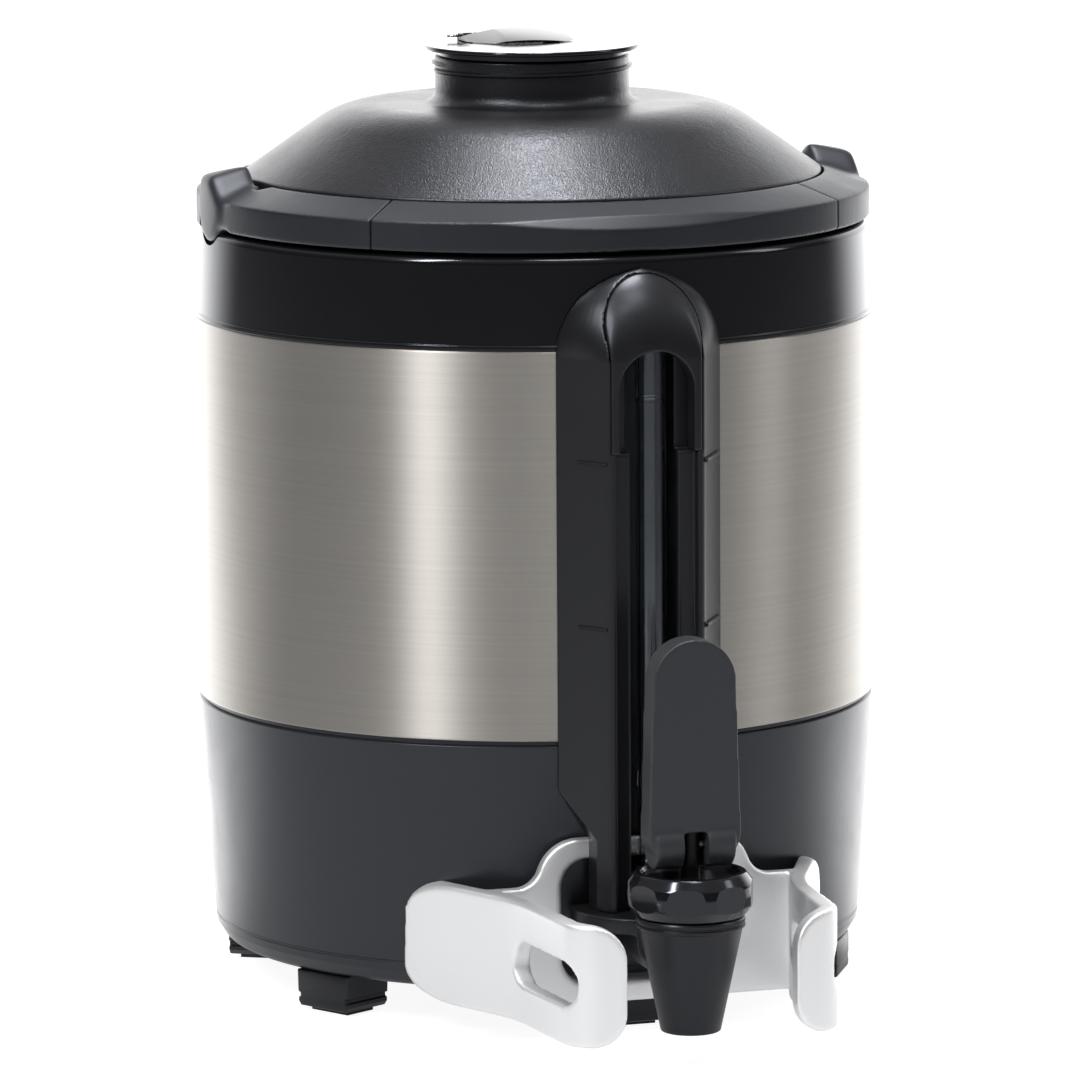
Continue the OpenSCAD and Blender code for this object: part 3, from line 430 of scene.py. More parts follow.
@cache
def brushed_lines():
    """Level brush lines round the Z axis, fine ones over broad ones."""
    group, place, given, out = new_group("Brushed Lines", {"Lines": 3200.0, "Length": 18.0})
    stretch = add(group, "CombineXYZ", {"X": given["Length"], "Y": given["Length"], "Z": given["Lines"]})
    drawn = add(group, "VectorMath", {0: place, 1: stretch.outputs[0]}, operation="MULTIPLY").outputs[0]
    fine = noise(group, drawn, 1.0, 3.0)
    fill(group, out, {"Height": fine, "Tone": maths(group, "MULTIPLY", fine, noise(group, drawn, 0.22))})
    return group


@cache
def handling_marks():
    """Faint smudges and fine dust left by use, as a mask."""
    group, place, given, out = new_group("Handling Marks", {"Amount": 0.3}, ("Mask",))
    smudges = ramp(group, noise(group, place, 45.0, 5.0, 0.65), 0.52, 0.72, kind="LINEAR")
    specks = ramp(group, noise(group, place, 900.0), 0.64, 0.74, kind="LINEAR")
    both = maths(group, "MAXIMUM", smudges, specks)
    fill(group, out, {"Mask": maths(group, "MULTIPLY", both, given["Amount"])})
    return group


# Tint of reflections on plastics; tone and roughness that marks add; depth of relief in metres
COOL = (0.86, 0.89, 1.0, 1.0)
MARK_TONE, MARK_ROUGHNESS, RELIEF = 1.35, 0.25, 0.0001


def shaded(name, **constants):
    """New material with a Principled shader whose sockets hold constants."""
    material = bpy.data.materials.new(name)
    material.use_nodes = True
    shader = material.node_tree.nodes["Principled BSDF"]
    for key, value in constants.items():
        shader.inputs[key.replace("_", " ").title().replace("Ior", "IOR")].default_value = value
    return material, material.node_tree, shader


def tinted(colour, factor):
    """Colour made lighter or darker by a factor."""
    return [min(1.0, channel * factor) for channel in colour[:3]] + [1.0]


def textured(name, maker, inputs, colour, gloss, bump, marks, change=0.10, **constants):
    """Material whose tone, roughness and relief come from a shared texture, with marks of use on top."""
    material, tree, shader = shaded(name, **constants)
    height, tone = add(tree, "Group", inputs, node_tree=maker()).outputs
    mask = add(tree, "Group", {"Amount": marks}, node_tree=handling_marks()).outputs["Mask"]
    shade = mixed_colour(tree, tone, tinted(colour, 1 - change), tinted(colour, 1 + change))
    rough = ramp(tree, tone, 0.3, 0.7, *gloss, kind="LINEAR")
    worn = add(tree, "Math", {0: mask, 1: MARK_ROUGHNESS, 2: rough}, operation="MULTIPLY_ADD", use_clamp=True)
    relief = add(tree, "Bump", {"Height": height, "Strength": bump, "Distance": RELIEF})
    fill(tree, shader, {"Base Color": mixed_colour(tree, mask, shade, tinted(colour, MARK_TONE)),
                        "Roughness": worn.outputs[0], "Normal": relief.outputs["Normal"]})
    return material


def plastic(name, colour, gloss, grain, bump, marks=0.25, **constants):
    """Moulded plastic with fine grain."""
    return textured(name, moulded_grain, {"Grain": grain}, colour, gloss, bump, marks,
                    specular_tint=COOL, **constants)


def pebbled(name, colour, gloss, pebbles, bump):
    """Plastic with a pebbled texture."""
    return textured(name, pebbled_grain, {"Pebbles": pebbles}, colour, gloss, bump,
                    marks=0.2, specular_tint=COOL)


def brushed(name, colour, gloss, lines, length, bump, **constants):
    """Metal with level brush lines."""
    material = textured(name, brushed_lines, {"Lines": lines, "Length": length}, colour, gloss, bump,
                        marks=0.08, change=0.16, metallic=1.0, **constants)
    tree = material.node_tree
    around = add(tree, "Tangent", direction_type="RADIAL", axis="Z")
    fill(tree, tree.nodes["Principled BSDF"], {"Tangent": around.outputs[0]})
    return material


@cache
def finishes():
    """All materials of the server, built once from the chosen colours."""
    look = bpy.context.scene.server_colours
    return dict(
        charcoal=plastic("charcoal_plastic", look.charcoal, (0.28, 0.34), 2200.0, 0.1,
                         specular_ior_level=0.4),
        paddle=plastic("paddle_plastic", look.paddle, (0.42, 0.52), 2600.0, 0.2),
        satin=plastic("black_satin", look.satin, (0.30, 0.38), 2400.0, 0.06, specular_ior_level=0.4),
        gloss=plastic("black_gloss", look.gloss, (0.10, 0.15), 900.0, 0.02, 0.15),
        slate=plastic("slate_plastic", look.slate, (0.36, 0.46), 2400.0, 0.15),
        pebble=pebbled("pebbled_black", look.dome, (0.27, 0.35), 2300.0, 1.0),
        brushed=brushed("brushed_steel", look.steel, (0.46, 0.54), 3600.0, 10.0, 0.12,
                        anisotropic=0.95, anisotropic_rotation=0.25),
        turned=brushed("plain_steel", look.turned, (0.20, 0.30), 5200.0, 260.0, 0.06),
        dark=brushed("dark_steel", look.dark, (0.50, 0.60), 5200.0, 260.0, 0.06),
        cast=textured("cast_aluminium", pebbled_grain, {"Pebbles": 1700.0}, look.cast, (0.42, 0.52), 0.12,
                      marks=0.1, change=0.03, metallic=0.85),
        rubber=plastic("black_rubber", look.rubber, (0.65, 0.8), 1500.0, 0.4),
        silicone=plastic("pale_silicone", look.silicone, (0.45, 0.55), 1200.0, 0.1,
                         subsurface_weight=0.15, subsurface_scale=0.002),
        foam=pebbled("insulation_foam", look.foam, (0.85, 0.95), 320.0, 1.0),
        clear=plastic("clear_tube", look.clear, (0.01, 0.03), 500.0, 0.005, 0.05,
                      transmission_weight=1.0, ior=1.49))


# Settings that a user would change
class ServerColours(bpy.types.PropertyGroup):
    """Colours of the server's finishes"""

    def shade(label, what, value):
        return bpy.props.FloatVectorProperty(name=label, description=what, subtype="COLOR", size=3,
                                             min=0, max=1, default=value)

    charcoal: shade("Charcoal", "Moulded base", (0.019, 0.020, 0.023))
    paddle: shade("Paddle", "Faucet paddle", (0.026, 0.027, 0.029))
    satin: shade("Satin black", "Column, elbow and spout", (0.009, 0.009, 0.010))
    gloss: shade("Gloss black", "Collar, stopper and bonnet", (0.005, 0.005, 0.006))
    slate: shade("Slate", "Bail and rear rim", (0.011, 0.0125, 0.0155))
    dome: shade("Dome black", "Pebbled lid", (0.008, 0.008, 0.009))
    steel: shade("Brushed steel", "Outer shell", (0.43, 0.410, 0.384))
    turned: shade("Turned steel", "Pins, screws and vessel", (0.62, 0.61, 0.59))
    dark: shade("Dark steel", "Faucet stem", (0.030, 0.030, 0.032))
    cast: shade("Cast aluminium", "Guard", (0.95, 0.955, 0.965))
    rubber: shade("Rubber", "Pads and seals", (0.012, 0.012, 0.012))
    silicone: shade("Silicone", "Gasket and seat", (0.52, 0.50, 0.47))
    foam: shade("Foam", "Insulation", (0.72, 0.66, 0.46))
    clear: shade("Clear", "Sight tube", (0.86, 0.90, 0.92))
    del shade


class ServerSizes(bpy.types.PropertyGroup):
    """Roundings and small details of the server's pieces, in millimetres"""

    def size(label, what, value):
        return bpy.props.FloatProperty(name=label, description=what, min=0.05, max=20, default=value)

    base_round: size("Base rounding", "Radius of the base's bottom edge", 4.0)
    collar_round: size("Collar rounding", "Radius of the collar's top edge", 2.4)
    lid_edge_round: size("Lid edge rounding", "Radius of the lid's lower edge", 1.2)
    guard_voxel: size("Guard detail", "Voxel size for the guard's rounded edges", 0.6)
    bail_voxel: size("Bail detail", "Voxel size for the bail's rounded edges", 0.5)
    column_voxel: size("Column detail", "Voxel size for the column's rounded edges", 0.45)
    del size


class StageSettings(bpy.types.PropertyGroup):
    """Camera and light of the studio"""

    def angle(label, what, value):
        return bpy.props.FloatProperty(name=label, description=what, subtype="ANGLE", default=value)

    def level(label, what, value):
        return bpy.props.FloatProperty(name=label, description=what, default=value)

    camera_turn: angle("Camera turn", "Angle of the camera round the server", math.radians(17.637))
    camera_pitch: angle("Camera pitch", "How far the camera looks down", 0.15553)
    camera_roll: angle("Camera roll", "Lean of the camera", -0.00597)
    camera_place: bpy.props.FloatVectorProperty(name="Camera place", description="Where the camera stands",
                                                subtype="TRANSLATION", unit="LENGTH",
                                                default=(-0.7922, -2.4974, 0.5546))
    focal_length: level("Focal length", "Lens of the camera in millimetres", 265.84)
    back_wall: level("Back wall", "Brightness behind the server", 2.6)
    table: level("Table", "Brightness of the floor near the server", 0.45)
    front_top: level("Front top", "Brightness above the camera", 0.45)
    del angle, level


class SERVER_OT_base(bpy.types.Operator):
    """Moulded base with a rounded bottom edge, a step line and a shadow gap under the steel"""
    bl_idname = "server.base"
    bl_label = "Base"

    def execute(self, context):
        z, wall = Z_BASE, 3.0
        hole_r, floor_r, spigot = BODY_R - 40.5, 104.0, BODY_R - 1.5
        inner = spigot - wall
        outline = rounded([
            (hole_r, z, 0), (floor_r, z, context.scene.server_sizes.base_round), (107.1, z + 5.2, 1.2),
            (107.35, z + 7.4, 0), (107.05, z + 7.7, 0.1), (107.1, z + 8.2, 0.1), (107.5, z + 8.6, 0.2),
            (BODY_R - 0.5, Z_SHELL - 2.0, 0.4), (spigot, Z_SHELL - 1.4, 0.1), (spigot, Z_SHELL + 3, 0),
            (inner, Z_SHELL + 3, 0), (inner, Z_SHELL - wall, 0), (floor_r, z + 4, 0), (floor_r, z + wall, 0),
            (hole_r, z + wall, 0)])
        piece = lathe("base_moulding", outline)
        settle(piece, "server", "charcoal_plastic", "charcoal", "base_housing")
        return {"FINISHED"}


class SERVER_OT_feet(bpy.types.Operator):
    """Six tapered feet with chamfers, a side recess and a pocket for the pad"""
    bl_idname = "server.feet"
    bl_label = "Feet"

    def execute(self, context):
        outer, depth, half, count = -FOOT_LOW.y, 19.0, 11.5, 6
        pocket_wall, pocket_deep = 1.6, 2.6
        low, high = FOOT_LOW.z, FOOT_HIGH.z
        side = [(half - 1.6, low), (half - 0.5, low + 1.5), (half - 0.5, low + 2.7), (half - 1.3, low + 3.1),
                (half - 1.3, low + 4.1), (half - 0.3, low + 4.6), (half, high)]
        foot = slab("foot", side + [(-x, z) for x, z in reversed(side)], -outer, depth - outer)
        bevel_edges(foot, 0.7, 2, lambda middle, way: middle.y < 0.1 - outer)
        pick_out(foot, "FACE", lambda face: face.normal.z < -0.9
                 and face.calc_center_median().z / MM < low + 0.1)
        bpy.ops.mesh.inset(thickness=pocket_wall * MM)
        bpy.ops.mesh.extrude_region_move(TRANSFORM_OT_translate={"value": (0, 0, pocket_deep * MM)})
        bpy.ops.mesh.select_mode(type="VERT")
        close_up()
        feet = [foot] + [placed("foot", foot.data.copy()) for _ in range(count - 1)]
        for turn, each in enumerate(feet):
            each.rotation_euler.z = turn * math.tau / count
        settle(joined("server_feet", feet), "server", "black_satin", "satin", "base_feet")
        return {"FINISHED"}


class SERVER_OT_shell(bpy.types.Operator):
    """Brushed steel shell with rolled edges"""
    bl_idname = "server.shell"
    bl_label = "Steel shell"

    def execute(self, context):
        inner = BODY_R - 1
        outline = rounded([(inner, Z_SHELL, 0.4), (BODY_R, Z_SHELL, 0.5), (BODY_R, Z_COLLAR, 0.5),
                           (inner, Z_COLLAR, 0.4)], steps=4)
        piece = lathe("steel_shell", outline, steps=256)
        settle(piece, "server", "brushed_steel", "brushed", "outer_shell")
        return {"FINISHED"}


class SERVER_OT_collar(bpy.types.Operator):
    """Gloss collar with a lip over the steel, a rounded top edge, notches and pivot lugs"""
    bl_idname = "server.collar"
    bl_label = "Top collar"

    def execute(self, context):
        top_r, spigot, inner, ledge_r = BODY_R - 1.5, BODY_R - 1.2, 97.0, 94.2
        wall, reach, top_h, ledge, ledge_h = 3, 6, 6, Z_RIM - 8.7, 5
        notch_r, lug_r, lug_in, lug_out, post_h = 13.2, 6.0, 101.4, 107.4, 15.6
        outline = rounded([
            (spigot, Z_COLLAR - reach, 0), (spigot, Z_COLLAR + 0.1, 0), (BODY_R - 0.05, Z_COLLAR + 0.1, 0.3),
            (BODY_R - 0.1, Z_COLLAR + 1.6, 0.2), (BODY_R - 0.45, Z_COLLAR + 1.9, 0.2),
            (top_r, Z_RIM, context.scene.server_sizes.collar_round), (inner, Z_RIM, 0.8), (inner, ledge, 0),
            (ledge_r, ledge, 0), (ledge_r, ledge - ledge_h, 0), (inner + wall, ledge - ledge_h, 0),
            (inner + wall, Z_RIM - top_h, 0), (spigot - wall, Z_RIM - top_h, 0),
            (spigot - wall, Z_COLLAR - reach, 0)])
        piece = lathe("gloss_collar", outline, steps=256)
        lugs = []
        for side in (-1, 1):
            start, end = ((side * r, 0, Z_PIVOT) for r in (inner - 1, BODY_R + 2))
            cut(piece, bar("notch", notch_r, start, end, 128))
            near, far = sorted((side * lug_in, side * lug_out))
            lugs.append(bar("lug", lug_r, (side * lug_in, 0, Z_PIVOT), (side * lug_out, 0, Z_PIVOT)))
            lugs.append(block("post", (near, -lug_r, Z_PIVOT - post_h), (far, lug_r, Z_PIVOT)))
        settle(joined("gloss_collar", [piece] + lugs), "server", "black_gloss", "gloss", "top_collar")
        return {"FINISHED"}


class SERVER_OT_rear_rim(bpy.types.Operator):
    """Fixed rim that continues the bail's ring behind the ears"""
    bl_idname = "server.rear_rim"
    bl_label = "Rear rim"

    def execute(self, context):
        piece = softened("rear_rim_ring", "rear_rim", context.scene.server_sizes.bail_voxel, 8, 0.35)
        settle(piece, "server", "slate_plastic", "slate", "rear_rim")
        return {"FINISHED"}


def drawn_in(piece, ear_half):
    """Brings the ring's inner edge close to the lid, up along its slope, except beside the ears."""
    reach, rise, zone, band, ear_fade = 2.7, 0.34, 2.2, 2.0, 4
    for vert in piece.data.vertices:
        radius = math.hypot(vert.co.x, vert.co.y) / MM
        share = unit((RING_IN + zone - radius) / band) * unit((abs(vert.co.y) / MM - ear_half) / ear_fade)
        if share > 0:
            factor = 1 - share * reach / radius
            vert.co.x *= factor
            vert.co.y *= factor
            if vert.co.z / MM > Z_PIVOT:
                vert.co.z += share * reach * rise * MM


class SERVER_OT_bail(bpy.types.Operator):
    """Bail: two arms with faceted ears, and the grip with its thumb scoop"""
    bl_idname = "server.bail"
    bl_label = "Bail"

    def execute(self, context):
        voxel, keep = context.scene.server_sizes.bail_voxel, 0.4
        ear_half, ear_end, ear_fade = 14, 19, 6
        arm = copied("bail_arm_pair", "bail_arms")
        slice_off(arm, (0, 0, 0), (-1, 0, 0))
        # Facets of the ear: a wedge with two sloping faces is cut from its front, and its top slopes outwards
        wedge = block("wedge", (90, -16, Z_PIVOT - 2), (118, 3, Z_PIVOT + 18))
        slice_off(wedge, (0, 1.0, Z_PIVOT + 12.4), (0, 0.606, -0.795))
        slice_off(wedge, (111, 0, Z_PIVOT + 2.2), (-0.325, 0, -0.946))
        cut(arm, wedge)
        slice_off(arm, (107, 0, Z_PIVOT + 10.4), (0.206, 0, 0.978))
        soften(arm, voxel, 6)
        ear = arm.vertex_groups.new(name="ear")
        for vert in arm.data.vertices:
            ear.add([vert.index], unit((ear_end - abs(vert.co.y) / MM) / ear_fade), "REPLACE")
        modify(arm, "SMOOTH", factor=0.5, iterations=130, vertex_group="ear")
        arm.vertex_groups.clear()
        drawn_in(arm, ear_half)
        modify(arm, "DECIMATE", ratio=keep)
        modify(arm, "MIRROR", use_axis=(True, False, False), use_mirror_merge=False)
        edit(arm)
        close_up()
        settle(arm, "bail", "slate_plastic", "slate", "bail_arms")
        grip = softened("bail_grip_bar", "bail_grip", voxel, 6)
        drawn_in(grip, 0)
        modify(grip, "DECIMATE", ratio=keep)
        settle(grip, "bail", "slate_plastic", "slate", "bail_grip")
        return {"FINISHED"}


class SERVER_OT_lid(bpy.types.Operator):
    """Pebbled dome with a rounded shoulder, a neck and one thread"""
    bl_idname = "server.lid"
    bl_label = "Lid"

    def execute(self, context):
        edge_r, tilt, wall, wall_drop = LID_HIGH.y, 35, 2.5, 3.05
        slope = math.radians(tilt)
        neck_r, mouth_r, fillet = 32.1, 26.0, 4
        cone, bend = 23.2, 20
        bend_r, flat_r = edge_r - cone, edge_r - cone - bend
        z_edge = Z_GRIP + 1.3
        z_bend = z_edge + cone * math.tan(slope)
        shoulder = bend / math.sin(slope)
        z_flat = z_bend + shoulder * (1 - math.cos(slope))
        z_neck = LID_HIGH.z
        outside = rounded([(edge_r - wall, LID_LOW.z, 0), (edge_r, LID_LOW.z, 0.5),
                           (edge_r, z_edge, context.scene.server_sizes.lid_edge_round),
                           (bend_r, z_bend, 0)])[:-1]
        outside += arc((flat_r, z_flat - shoulder), shoulder, 90 - tilt, 90, 24)
        outside += arc((neck_r + fillet, z_flat + fillet), fillet, 270, 180, 12)
        outside += rounded([(neck_r, z_neck - 3, 0), (neck_r, z_neck, 0.7), (mouth_r, z_neck, 0.7),
                            (mouth_r, z_flat - 1.5, 0)])
        inside = [(mouth_r - 1.2, z_flat - 1.5), (mouth_r - 1.2, z_flat - wall), (flat_r, z_flat - wall)]
        inside += arc((flat_r, z_flat - shoulder - wall_drop), shoulder, 88, 90 - tilt, 12)
        inside += [(edge_r - wall, z_edge - 1.3)]
        dome = lathe("pebbled_dome", outside + inside, steps=224)
        settle(joined("pebbled_dome", [dome, self.thread(neck_r, z_neck - 4.6)]), "lid", "black_satin",
               "pebble", "lid_dome", angle=40)
        return {"FINISHED"}

    def thread(self, neck_r, low):
        """Ridge that winds a little more than once round the neck."""
        pitch, turns, start, run_out, steps = 2.4, 410 / 360, math.radians(150), 0.08, 220
        foot, crest = neck_r - 0.4, neck_r + 1.0
        section = [(foot, low - 1.1), (crest, low - 0.4), (crest, low + 0.3), (foot, low + 1.0)]
        ridge = traced("thread", [Vector((x, 0, z)) for x, z in section])
        bpy.ops.object.mode_set(mode="OBJECT")
        modify(ridge, "SCREW", angle=turns * math.tau, screw_offset=turns * pitch * MM,
               steps=steps, render_steps=steps)
        edit(ridge)
        bpy.ops.mesh.fill_holes(sides=0)
        close_up()
        for vert in ridge.data.vertices:
            turn = math.atan2(vert.co.y, vert.co.x) / math.tau
            turn += round((vert.co.z / MM - low) / pitch - turn)
            radius = math.hypot(vert.co.x, vert.co.y) / MM
            vert.co.xy *= (foot + (radius - foot) * unit(min(turn, turns - turn) / run_out)) / radius
        ridge.rotation_euler.z = start
        return ridge


class SERVER_OT_stopper(bpy.types.Operator):
    """Stopper with a thin disc, hinge knuckles and the domed flap"""
    bl_idname = "server.stopper"
    bl_label = "Stopper and flap"

    def execute(self, context):
        hinge_r, knuckle_r, knuckle_l, gap = 1.2, 0.85, 5, 0.4
        hinge_y, hinge_z = 18.0, FLAP_LOW.z + hinge_r
        deck = STOPPER_HIGH.z - 0.3 - 2 * hinge_r
        disc_r, land_r, plug_r, groove_r, bore_r = STOPPER_HIGH.y, 31.1, 25.6, 24.6, 22.6
        low = STOPPER_LOW.z
        seat, rim, groove_low, groove_top = low + 6, deck - 1.6, low + 1.8, low + 4.2
        outline = rounded([
            (0, deck, 0), (disc_r, deck, 0.6), (disc_r, rim, 0.7), (land_r, rim, 0.5), (land_r, seat, 0.4),
            (plug_r, seat, 0), (plug_r, groove_top, 0), (groove_r, groove_top, 0), (groove_r, groove_low, 0),
            (plug_r, groove_low, 0), (plug_r, low, 0.5), (bore_r, low, 0.5), (bore_r, seat, 0), (0, seat, 0)])
        disc = lathe("stopper_disc", outline, steps=192)
        knuckles = []
        for left in (FLAP_LOW.x, FLAP_HIGH.x - knuckle_l):
            right = left + knuckle_l
            barrel = bar("barrel", knuckle_r, (left, hinge_y, hinge_z), (right, hinge_y, hinge_z))
            bevel_edges(barrel, 0.25, 2, lambda middle, way: abs(way.x) < 0.5)
            foot = block("foot", (left, hinge_y - knuckle_r, deck - 1), (right, hinge_y + knuckle_r, hinge_z))
            knuckles.extend([barrel, foot])
        settle(joined("stopper_disc", [disc] + knuckles), "stopper", "black_gloss", "gloss", "stopper")

        dome_place, dome_size = Vector((-2.5, 48, FLAP_HIGH.z - 21.4)), (57, 89, 22)
        deselect()
        bpy.ops.mesh.primitive_uv_sphere_add(segments=128, ring_count=96, radius=MM,
                                             location=dome_place * MM, scale=dome_size)
        flap = named("stopper_flap")
        edges = block("edges", FLAP_LOW, (FLAP_HIGH.x, hinge_y - knuckle_r - gap, FLAP_HIGH.z + 1))
        slice_off(edges, (-8.4, 0, FLAP_LOW.z + 1.08), (-0.17, -0.115, 0.98))
        cut(flap, edges, "INTERSECT")
        left, right = FLAP_LOW.x + knuckle_l + gap, FLAP_HIGH.x - knuckle_l - gap
        barrel = bar("barrel", knuckle_r, (left, hinge_y, hinge_z), (right, hinge_y, hinge_z))
        tongue = block("tongue", (left, hinge_y - 3, hinge_z - 0.6), (right, hinge_y - 0.3, hinge_z + 0.6))
        settle(joined("stopper_flap", [flap, barrel, tongue]), "flap", "black_gloss", "gloss", "flip_flap")
        return {"FINISHED"}


class SERVER_OT_gauge(bpy.types.Operator):
    """Gauge column, cap and elbow with rounded edges, and the sight tube"""
    bl_idname = "server.gauge"
    bl_label = "Sight gauge"

    def execute(self, context):
        voxel = context.scene.server_sizes.column_voxel
        column = self.form()
        cap = placed("gauge_cap_moulding", column.data.copy())
        cut(column, self.cap_space("cap_space", 0.0))
        cut(cap, self.cap_space("cap_shape", 0.22), "INTERSECT")
        window = [(WINDOW_HALF, Z_CAP - 5)] + arc((0, Z_WINDOW - WINDOW_HALF), WINDOW_HALF, 0, 180, 40)
        cut(cap, slab("window", window + [(-WINDOW_HALF, Z_CAP - 5)], CUT_FRONT, -BODY_R))
        for name, half, deep, top in (("step", 13.6, 3.5, 2), ("groove", 8.0, 14.8, 3)):
            cut(column, block(name, (-half, CUT_FRONT, 0), (half, deep - COLUMN_FRONT, Z_WINDOW + top)))
        soften(column, voxel, 4, 0.35)
        settle(joined("gauge_column_moulding", [column] + self.ticks()), "server", "black_satin", "satin",
               "gauge_column", angle=60)
        soften(cap, 0.35, 5, 0.3)
        settle(cap, "server", "black_satin", "satin", "gauge_cap", angle=60)
        elbow = softened("gauge_elbow_moulding", "gauge_elbow", 0.5, 6, 0.4)
        settle(elbow, "server", "black_satin", "satin", "gauge_elbow", angle=60)
        settle(self.tube(), "server", "clear_tube", "clear", "gauge_tube")
        return {"FINISHED"}

    def tube(self):
        """Clear tube with a ring that marks a level."""
        radius = (TUBE_HIGH.x - TUBE_LOW.x) / 2
        axis = (TUBE_LOW.y + TUBE_HIGH.y) / 2
        bore, ring, mark = radius - 1.1, radius + 0.25, 207.0
        outline = rounded([
            (bore, TUBE_LOW.z, 0.3), (radius, TUBE_LOW.z, 0.3), (radius, mark - 0.6, 0),
            (ring, mark - 0.4, 0), (ring, mark + 0.4, 0), (radius, mark + 0.6, 0),
            (radius, TUBE_HIGH.z, 0.3), (bore, TUBE_HIGH.z, 0.3)])
        return lathe("sight_tube", outline, centre_y=axis, steps=64)

    def depth_kept(self, height):
        """Share of its depth that the column keeps at a height, where its crown leans back."""
        drop = max(0.0, height - Z_CROWN)
        front = COLUMN_FRONT - CROWN_R + math.sqrt(CROWN_R ** 2 - drop ** 2)
        return (front - COLUMN_BACK) / (COLUMN_FRONT - COLUMN_BACK)

    def form(self):
        """Column without its groove: a plan extruded up, then drawn in step by step to the crown."""
        low, heel, back = COLUMN_LOW.z, COLUMN_HEEL, COLUMN_BACK
        round_rise, foot_half, foot_h, taper_drop = 17, 19.0, 23, 16
        half = [(COLUMN_HALF, -back, 0), (COLUMN_HALF, -heel, 0.6), (FACE_HALF, -COLUMN_FRONT, 3.5)]
        plan = rounded([(-x, y, radius) for x, y, radius in half] + half[::-1], steps=5)
        piece = traced("gauge_column_moulding", [Vector((p.x, p.y, low)) for p in divided(plan, 2.5)])
        bpy.ops.mesh.edge_face_add()
        level, wide, deep = low, 1.0, 1.0
        for turn in [0] + list(range(3, 88, 3)) + [89]:
            height = Z_ARCH + COLUMN_HALF * math.sin(math.radians(turn))
            new_wide, new_deep = math.cos(math.radians(turn)), self.depth_kept(height)
            bpy.ops.mesh.extrude_region_move(TRANSFORM_OT_translate={"value": (0, 0, (height - level) * MM)})
            bpy.ops.transform.resize(value=(new_wide / wide, new_deep / deep, 1),
                                     center_override=Vector((0, -back, height)) * MM)
            level, wide, deep = height, new_wide, new_deep
        close_up()
        for vert in piece.data.vertices:
            rise = vert.co.z / MM - Z_ARCH
            if rise > 0:
                wide = math.sqrt(max(1e-4, 1 - (rise / COLUMN_HALF) ** 2))
                deep = self.depth_kept(rise + Z_ARCH)
                across = vert.co.x / MM / (COLUMN_HALF * wide)
                forward = ((-vert.co.y / MM - back) / deep + back - heel) / (COLUMN_FRONT - heel)
                if forward > 0:
                    pull = 1 + (1 / math.hypot(across, forward) - 1) * unit(rise / round_rise)
                    vert.co.x *= pull
                    vert.co.y = -(back + (heel - back + forward * pull * (COLUMN_FRONT - heel)) * deep) * MM
        for side in (-1, 1):
            taper = [(side * foot_half, low - 1), (side * foot_half, low + foot_h),
                     (side * COLUMN_HALF, Z_SHELL - taper_drop), (side * CUT_HALF, Z_SHELL - taper_drop),
                     (side * CUT_HALF, low - 1)]
            cut(piece, slab("taper", taper, CUT_FRONT, CUT_PAST - back))
        cut(piece, bar("body", BODY_R + 0.3, (0, 0, low - CUT_PAST), (0, 0, Z_RIM + CUT_PAST), 256))
        cut(piece, block("flange", (-CUT_HALF, -BODY_R - 1.9, low - CUT_PAST),
                         (CUT_HALF, -CUT_BACK, low + foot_h)))
        return piece

    def cap_space(self, name, gap):
        """Space in the column that the cap fills, less a gap."""
        half, middle, top = FACE_HALF - 0.2 - gap, Z_ARCH + 8.5, COLUMN_HIGH.z - 1.4 - gap
        turns = [math.radians(4 * k) for k in range(46)]
        arch = [(1.04 * half * math.cos(a), middle + (top - middle) * math.sin(a)) for a in turns]
        side = [(half, Z_CAP + gap), (half, Z_CAP + 30)]
        outline = side + arch + [(-x, z) for x, z in reversed(side)]
        space = slab(name, outline, CUT_FRONT, -BODY_R + 6)
        cut(space, block("back", (-CUT_HALF, -BODY_R - 8.5 - gap, Z_CAP - CUT_PAST),
                         (CUT_HALF, -CUT_BACK, Z_WINDOW + 4)))
        return space

    def ticks(self):
        """Level marks on the flanks: a fine line on the left, a longer raised bead on the right."""
        marks = []
        slope = Vector((COLUMN_HALF - FACE_HALF, COLUMN_FRONT - COLUMN_HEEL)).normalized()
        for level in (Z_CAP - 3, Z_CAP - 56):
            for side, radius, start, end in ((-1, 0.4, 1.8, 13.5), (1, 0.8, 1.2, 18.5)):
                lift = radius * 0.35
                points = [(side * (FACE_HALF + slope.x * along + slope.y * lift),
                           slope.y * along - slope.x * lift - COLUMN_FRONT, level) for along in (start, end)]
                mark = bar("tick", radius, *points, 24)
                bevel_edges(mark, radius * 0.6, 3,
                            lambda middle, way: abs(way.z) > 0.2 or abs(way.x + way.y) < 0.4)
                marks.append(mark)
        return marks


class SERVER_OT_guard(bpy.types.Operator):
    """Cast guard with softly rounded edges"""
    bl_idname = "server.guard"
    bl_label = "Guard"

    def execute(self, context):
        guard = softened("cast_guard", "guard_bracket", context.scene.server_sizes.guard_voxel, 18, 0.35)
        settle(guard, "server", "cast_aluminium", "cast", "guard_bracket", angle=60)
        return {"FINISHED"}


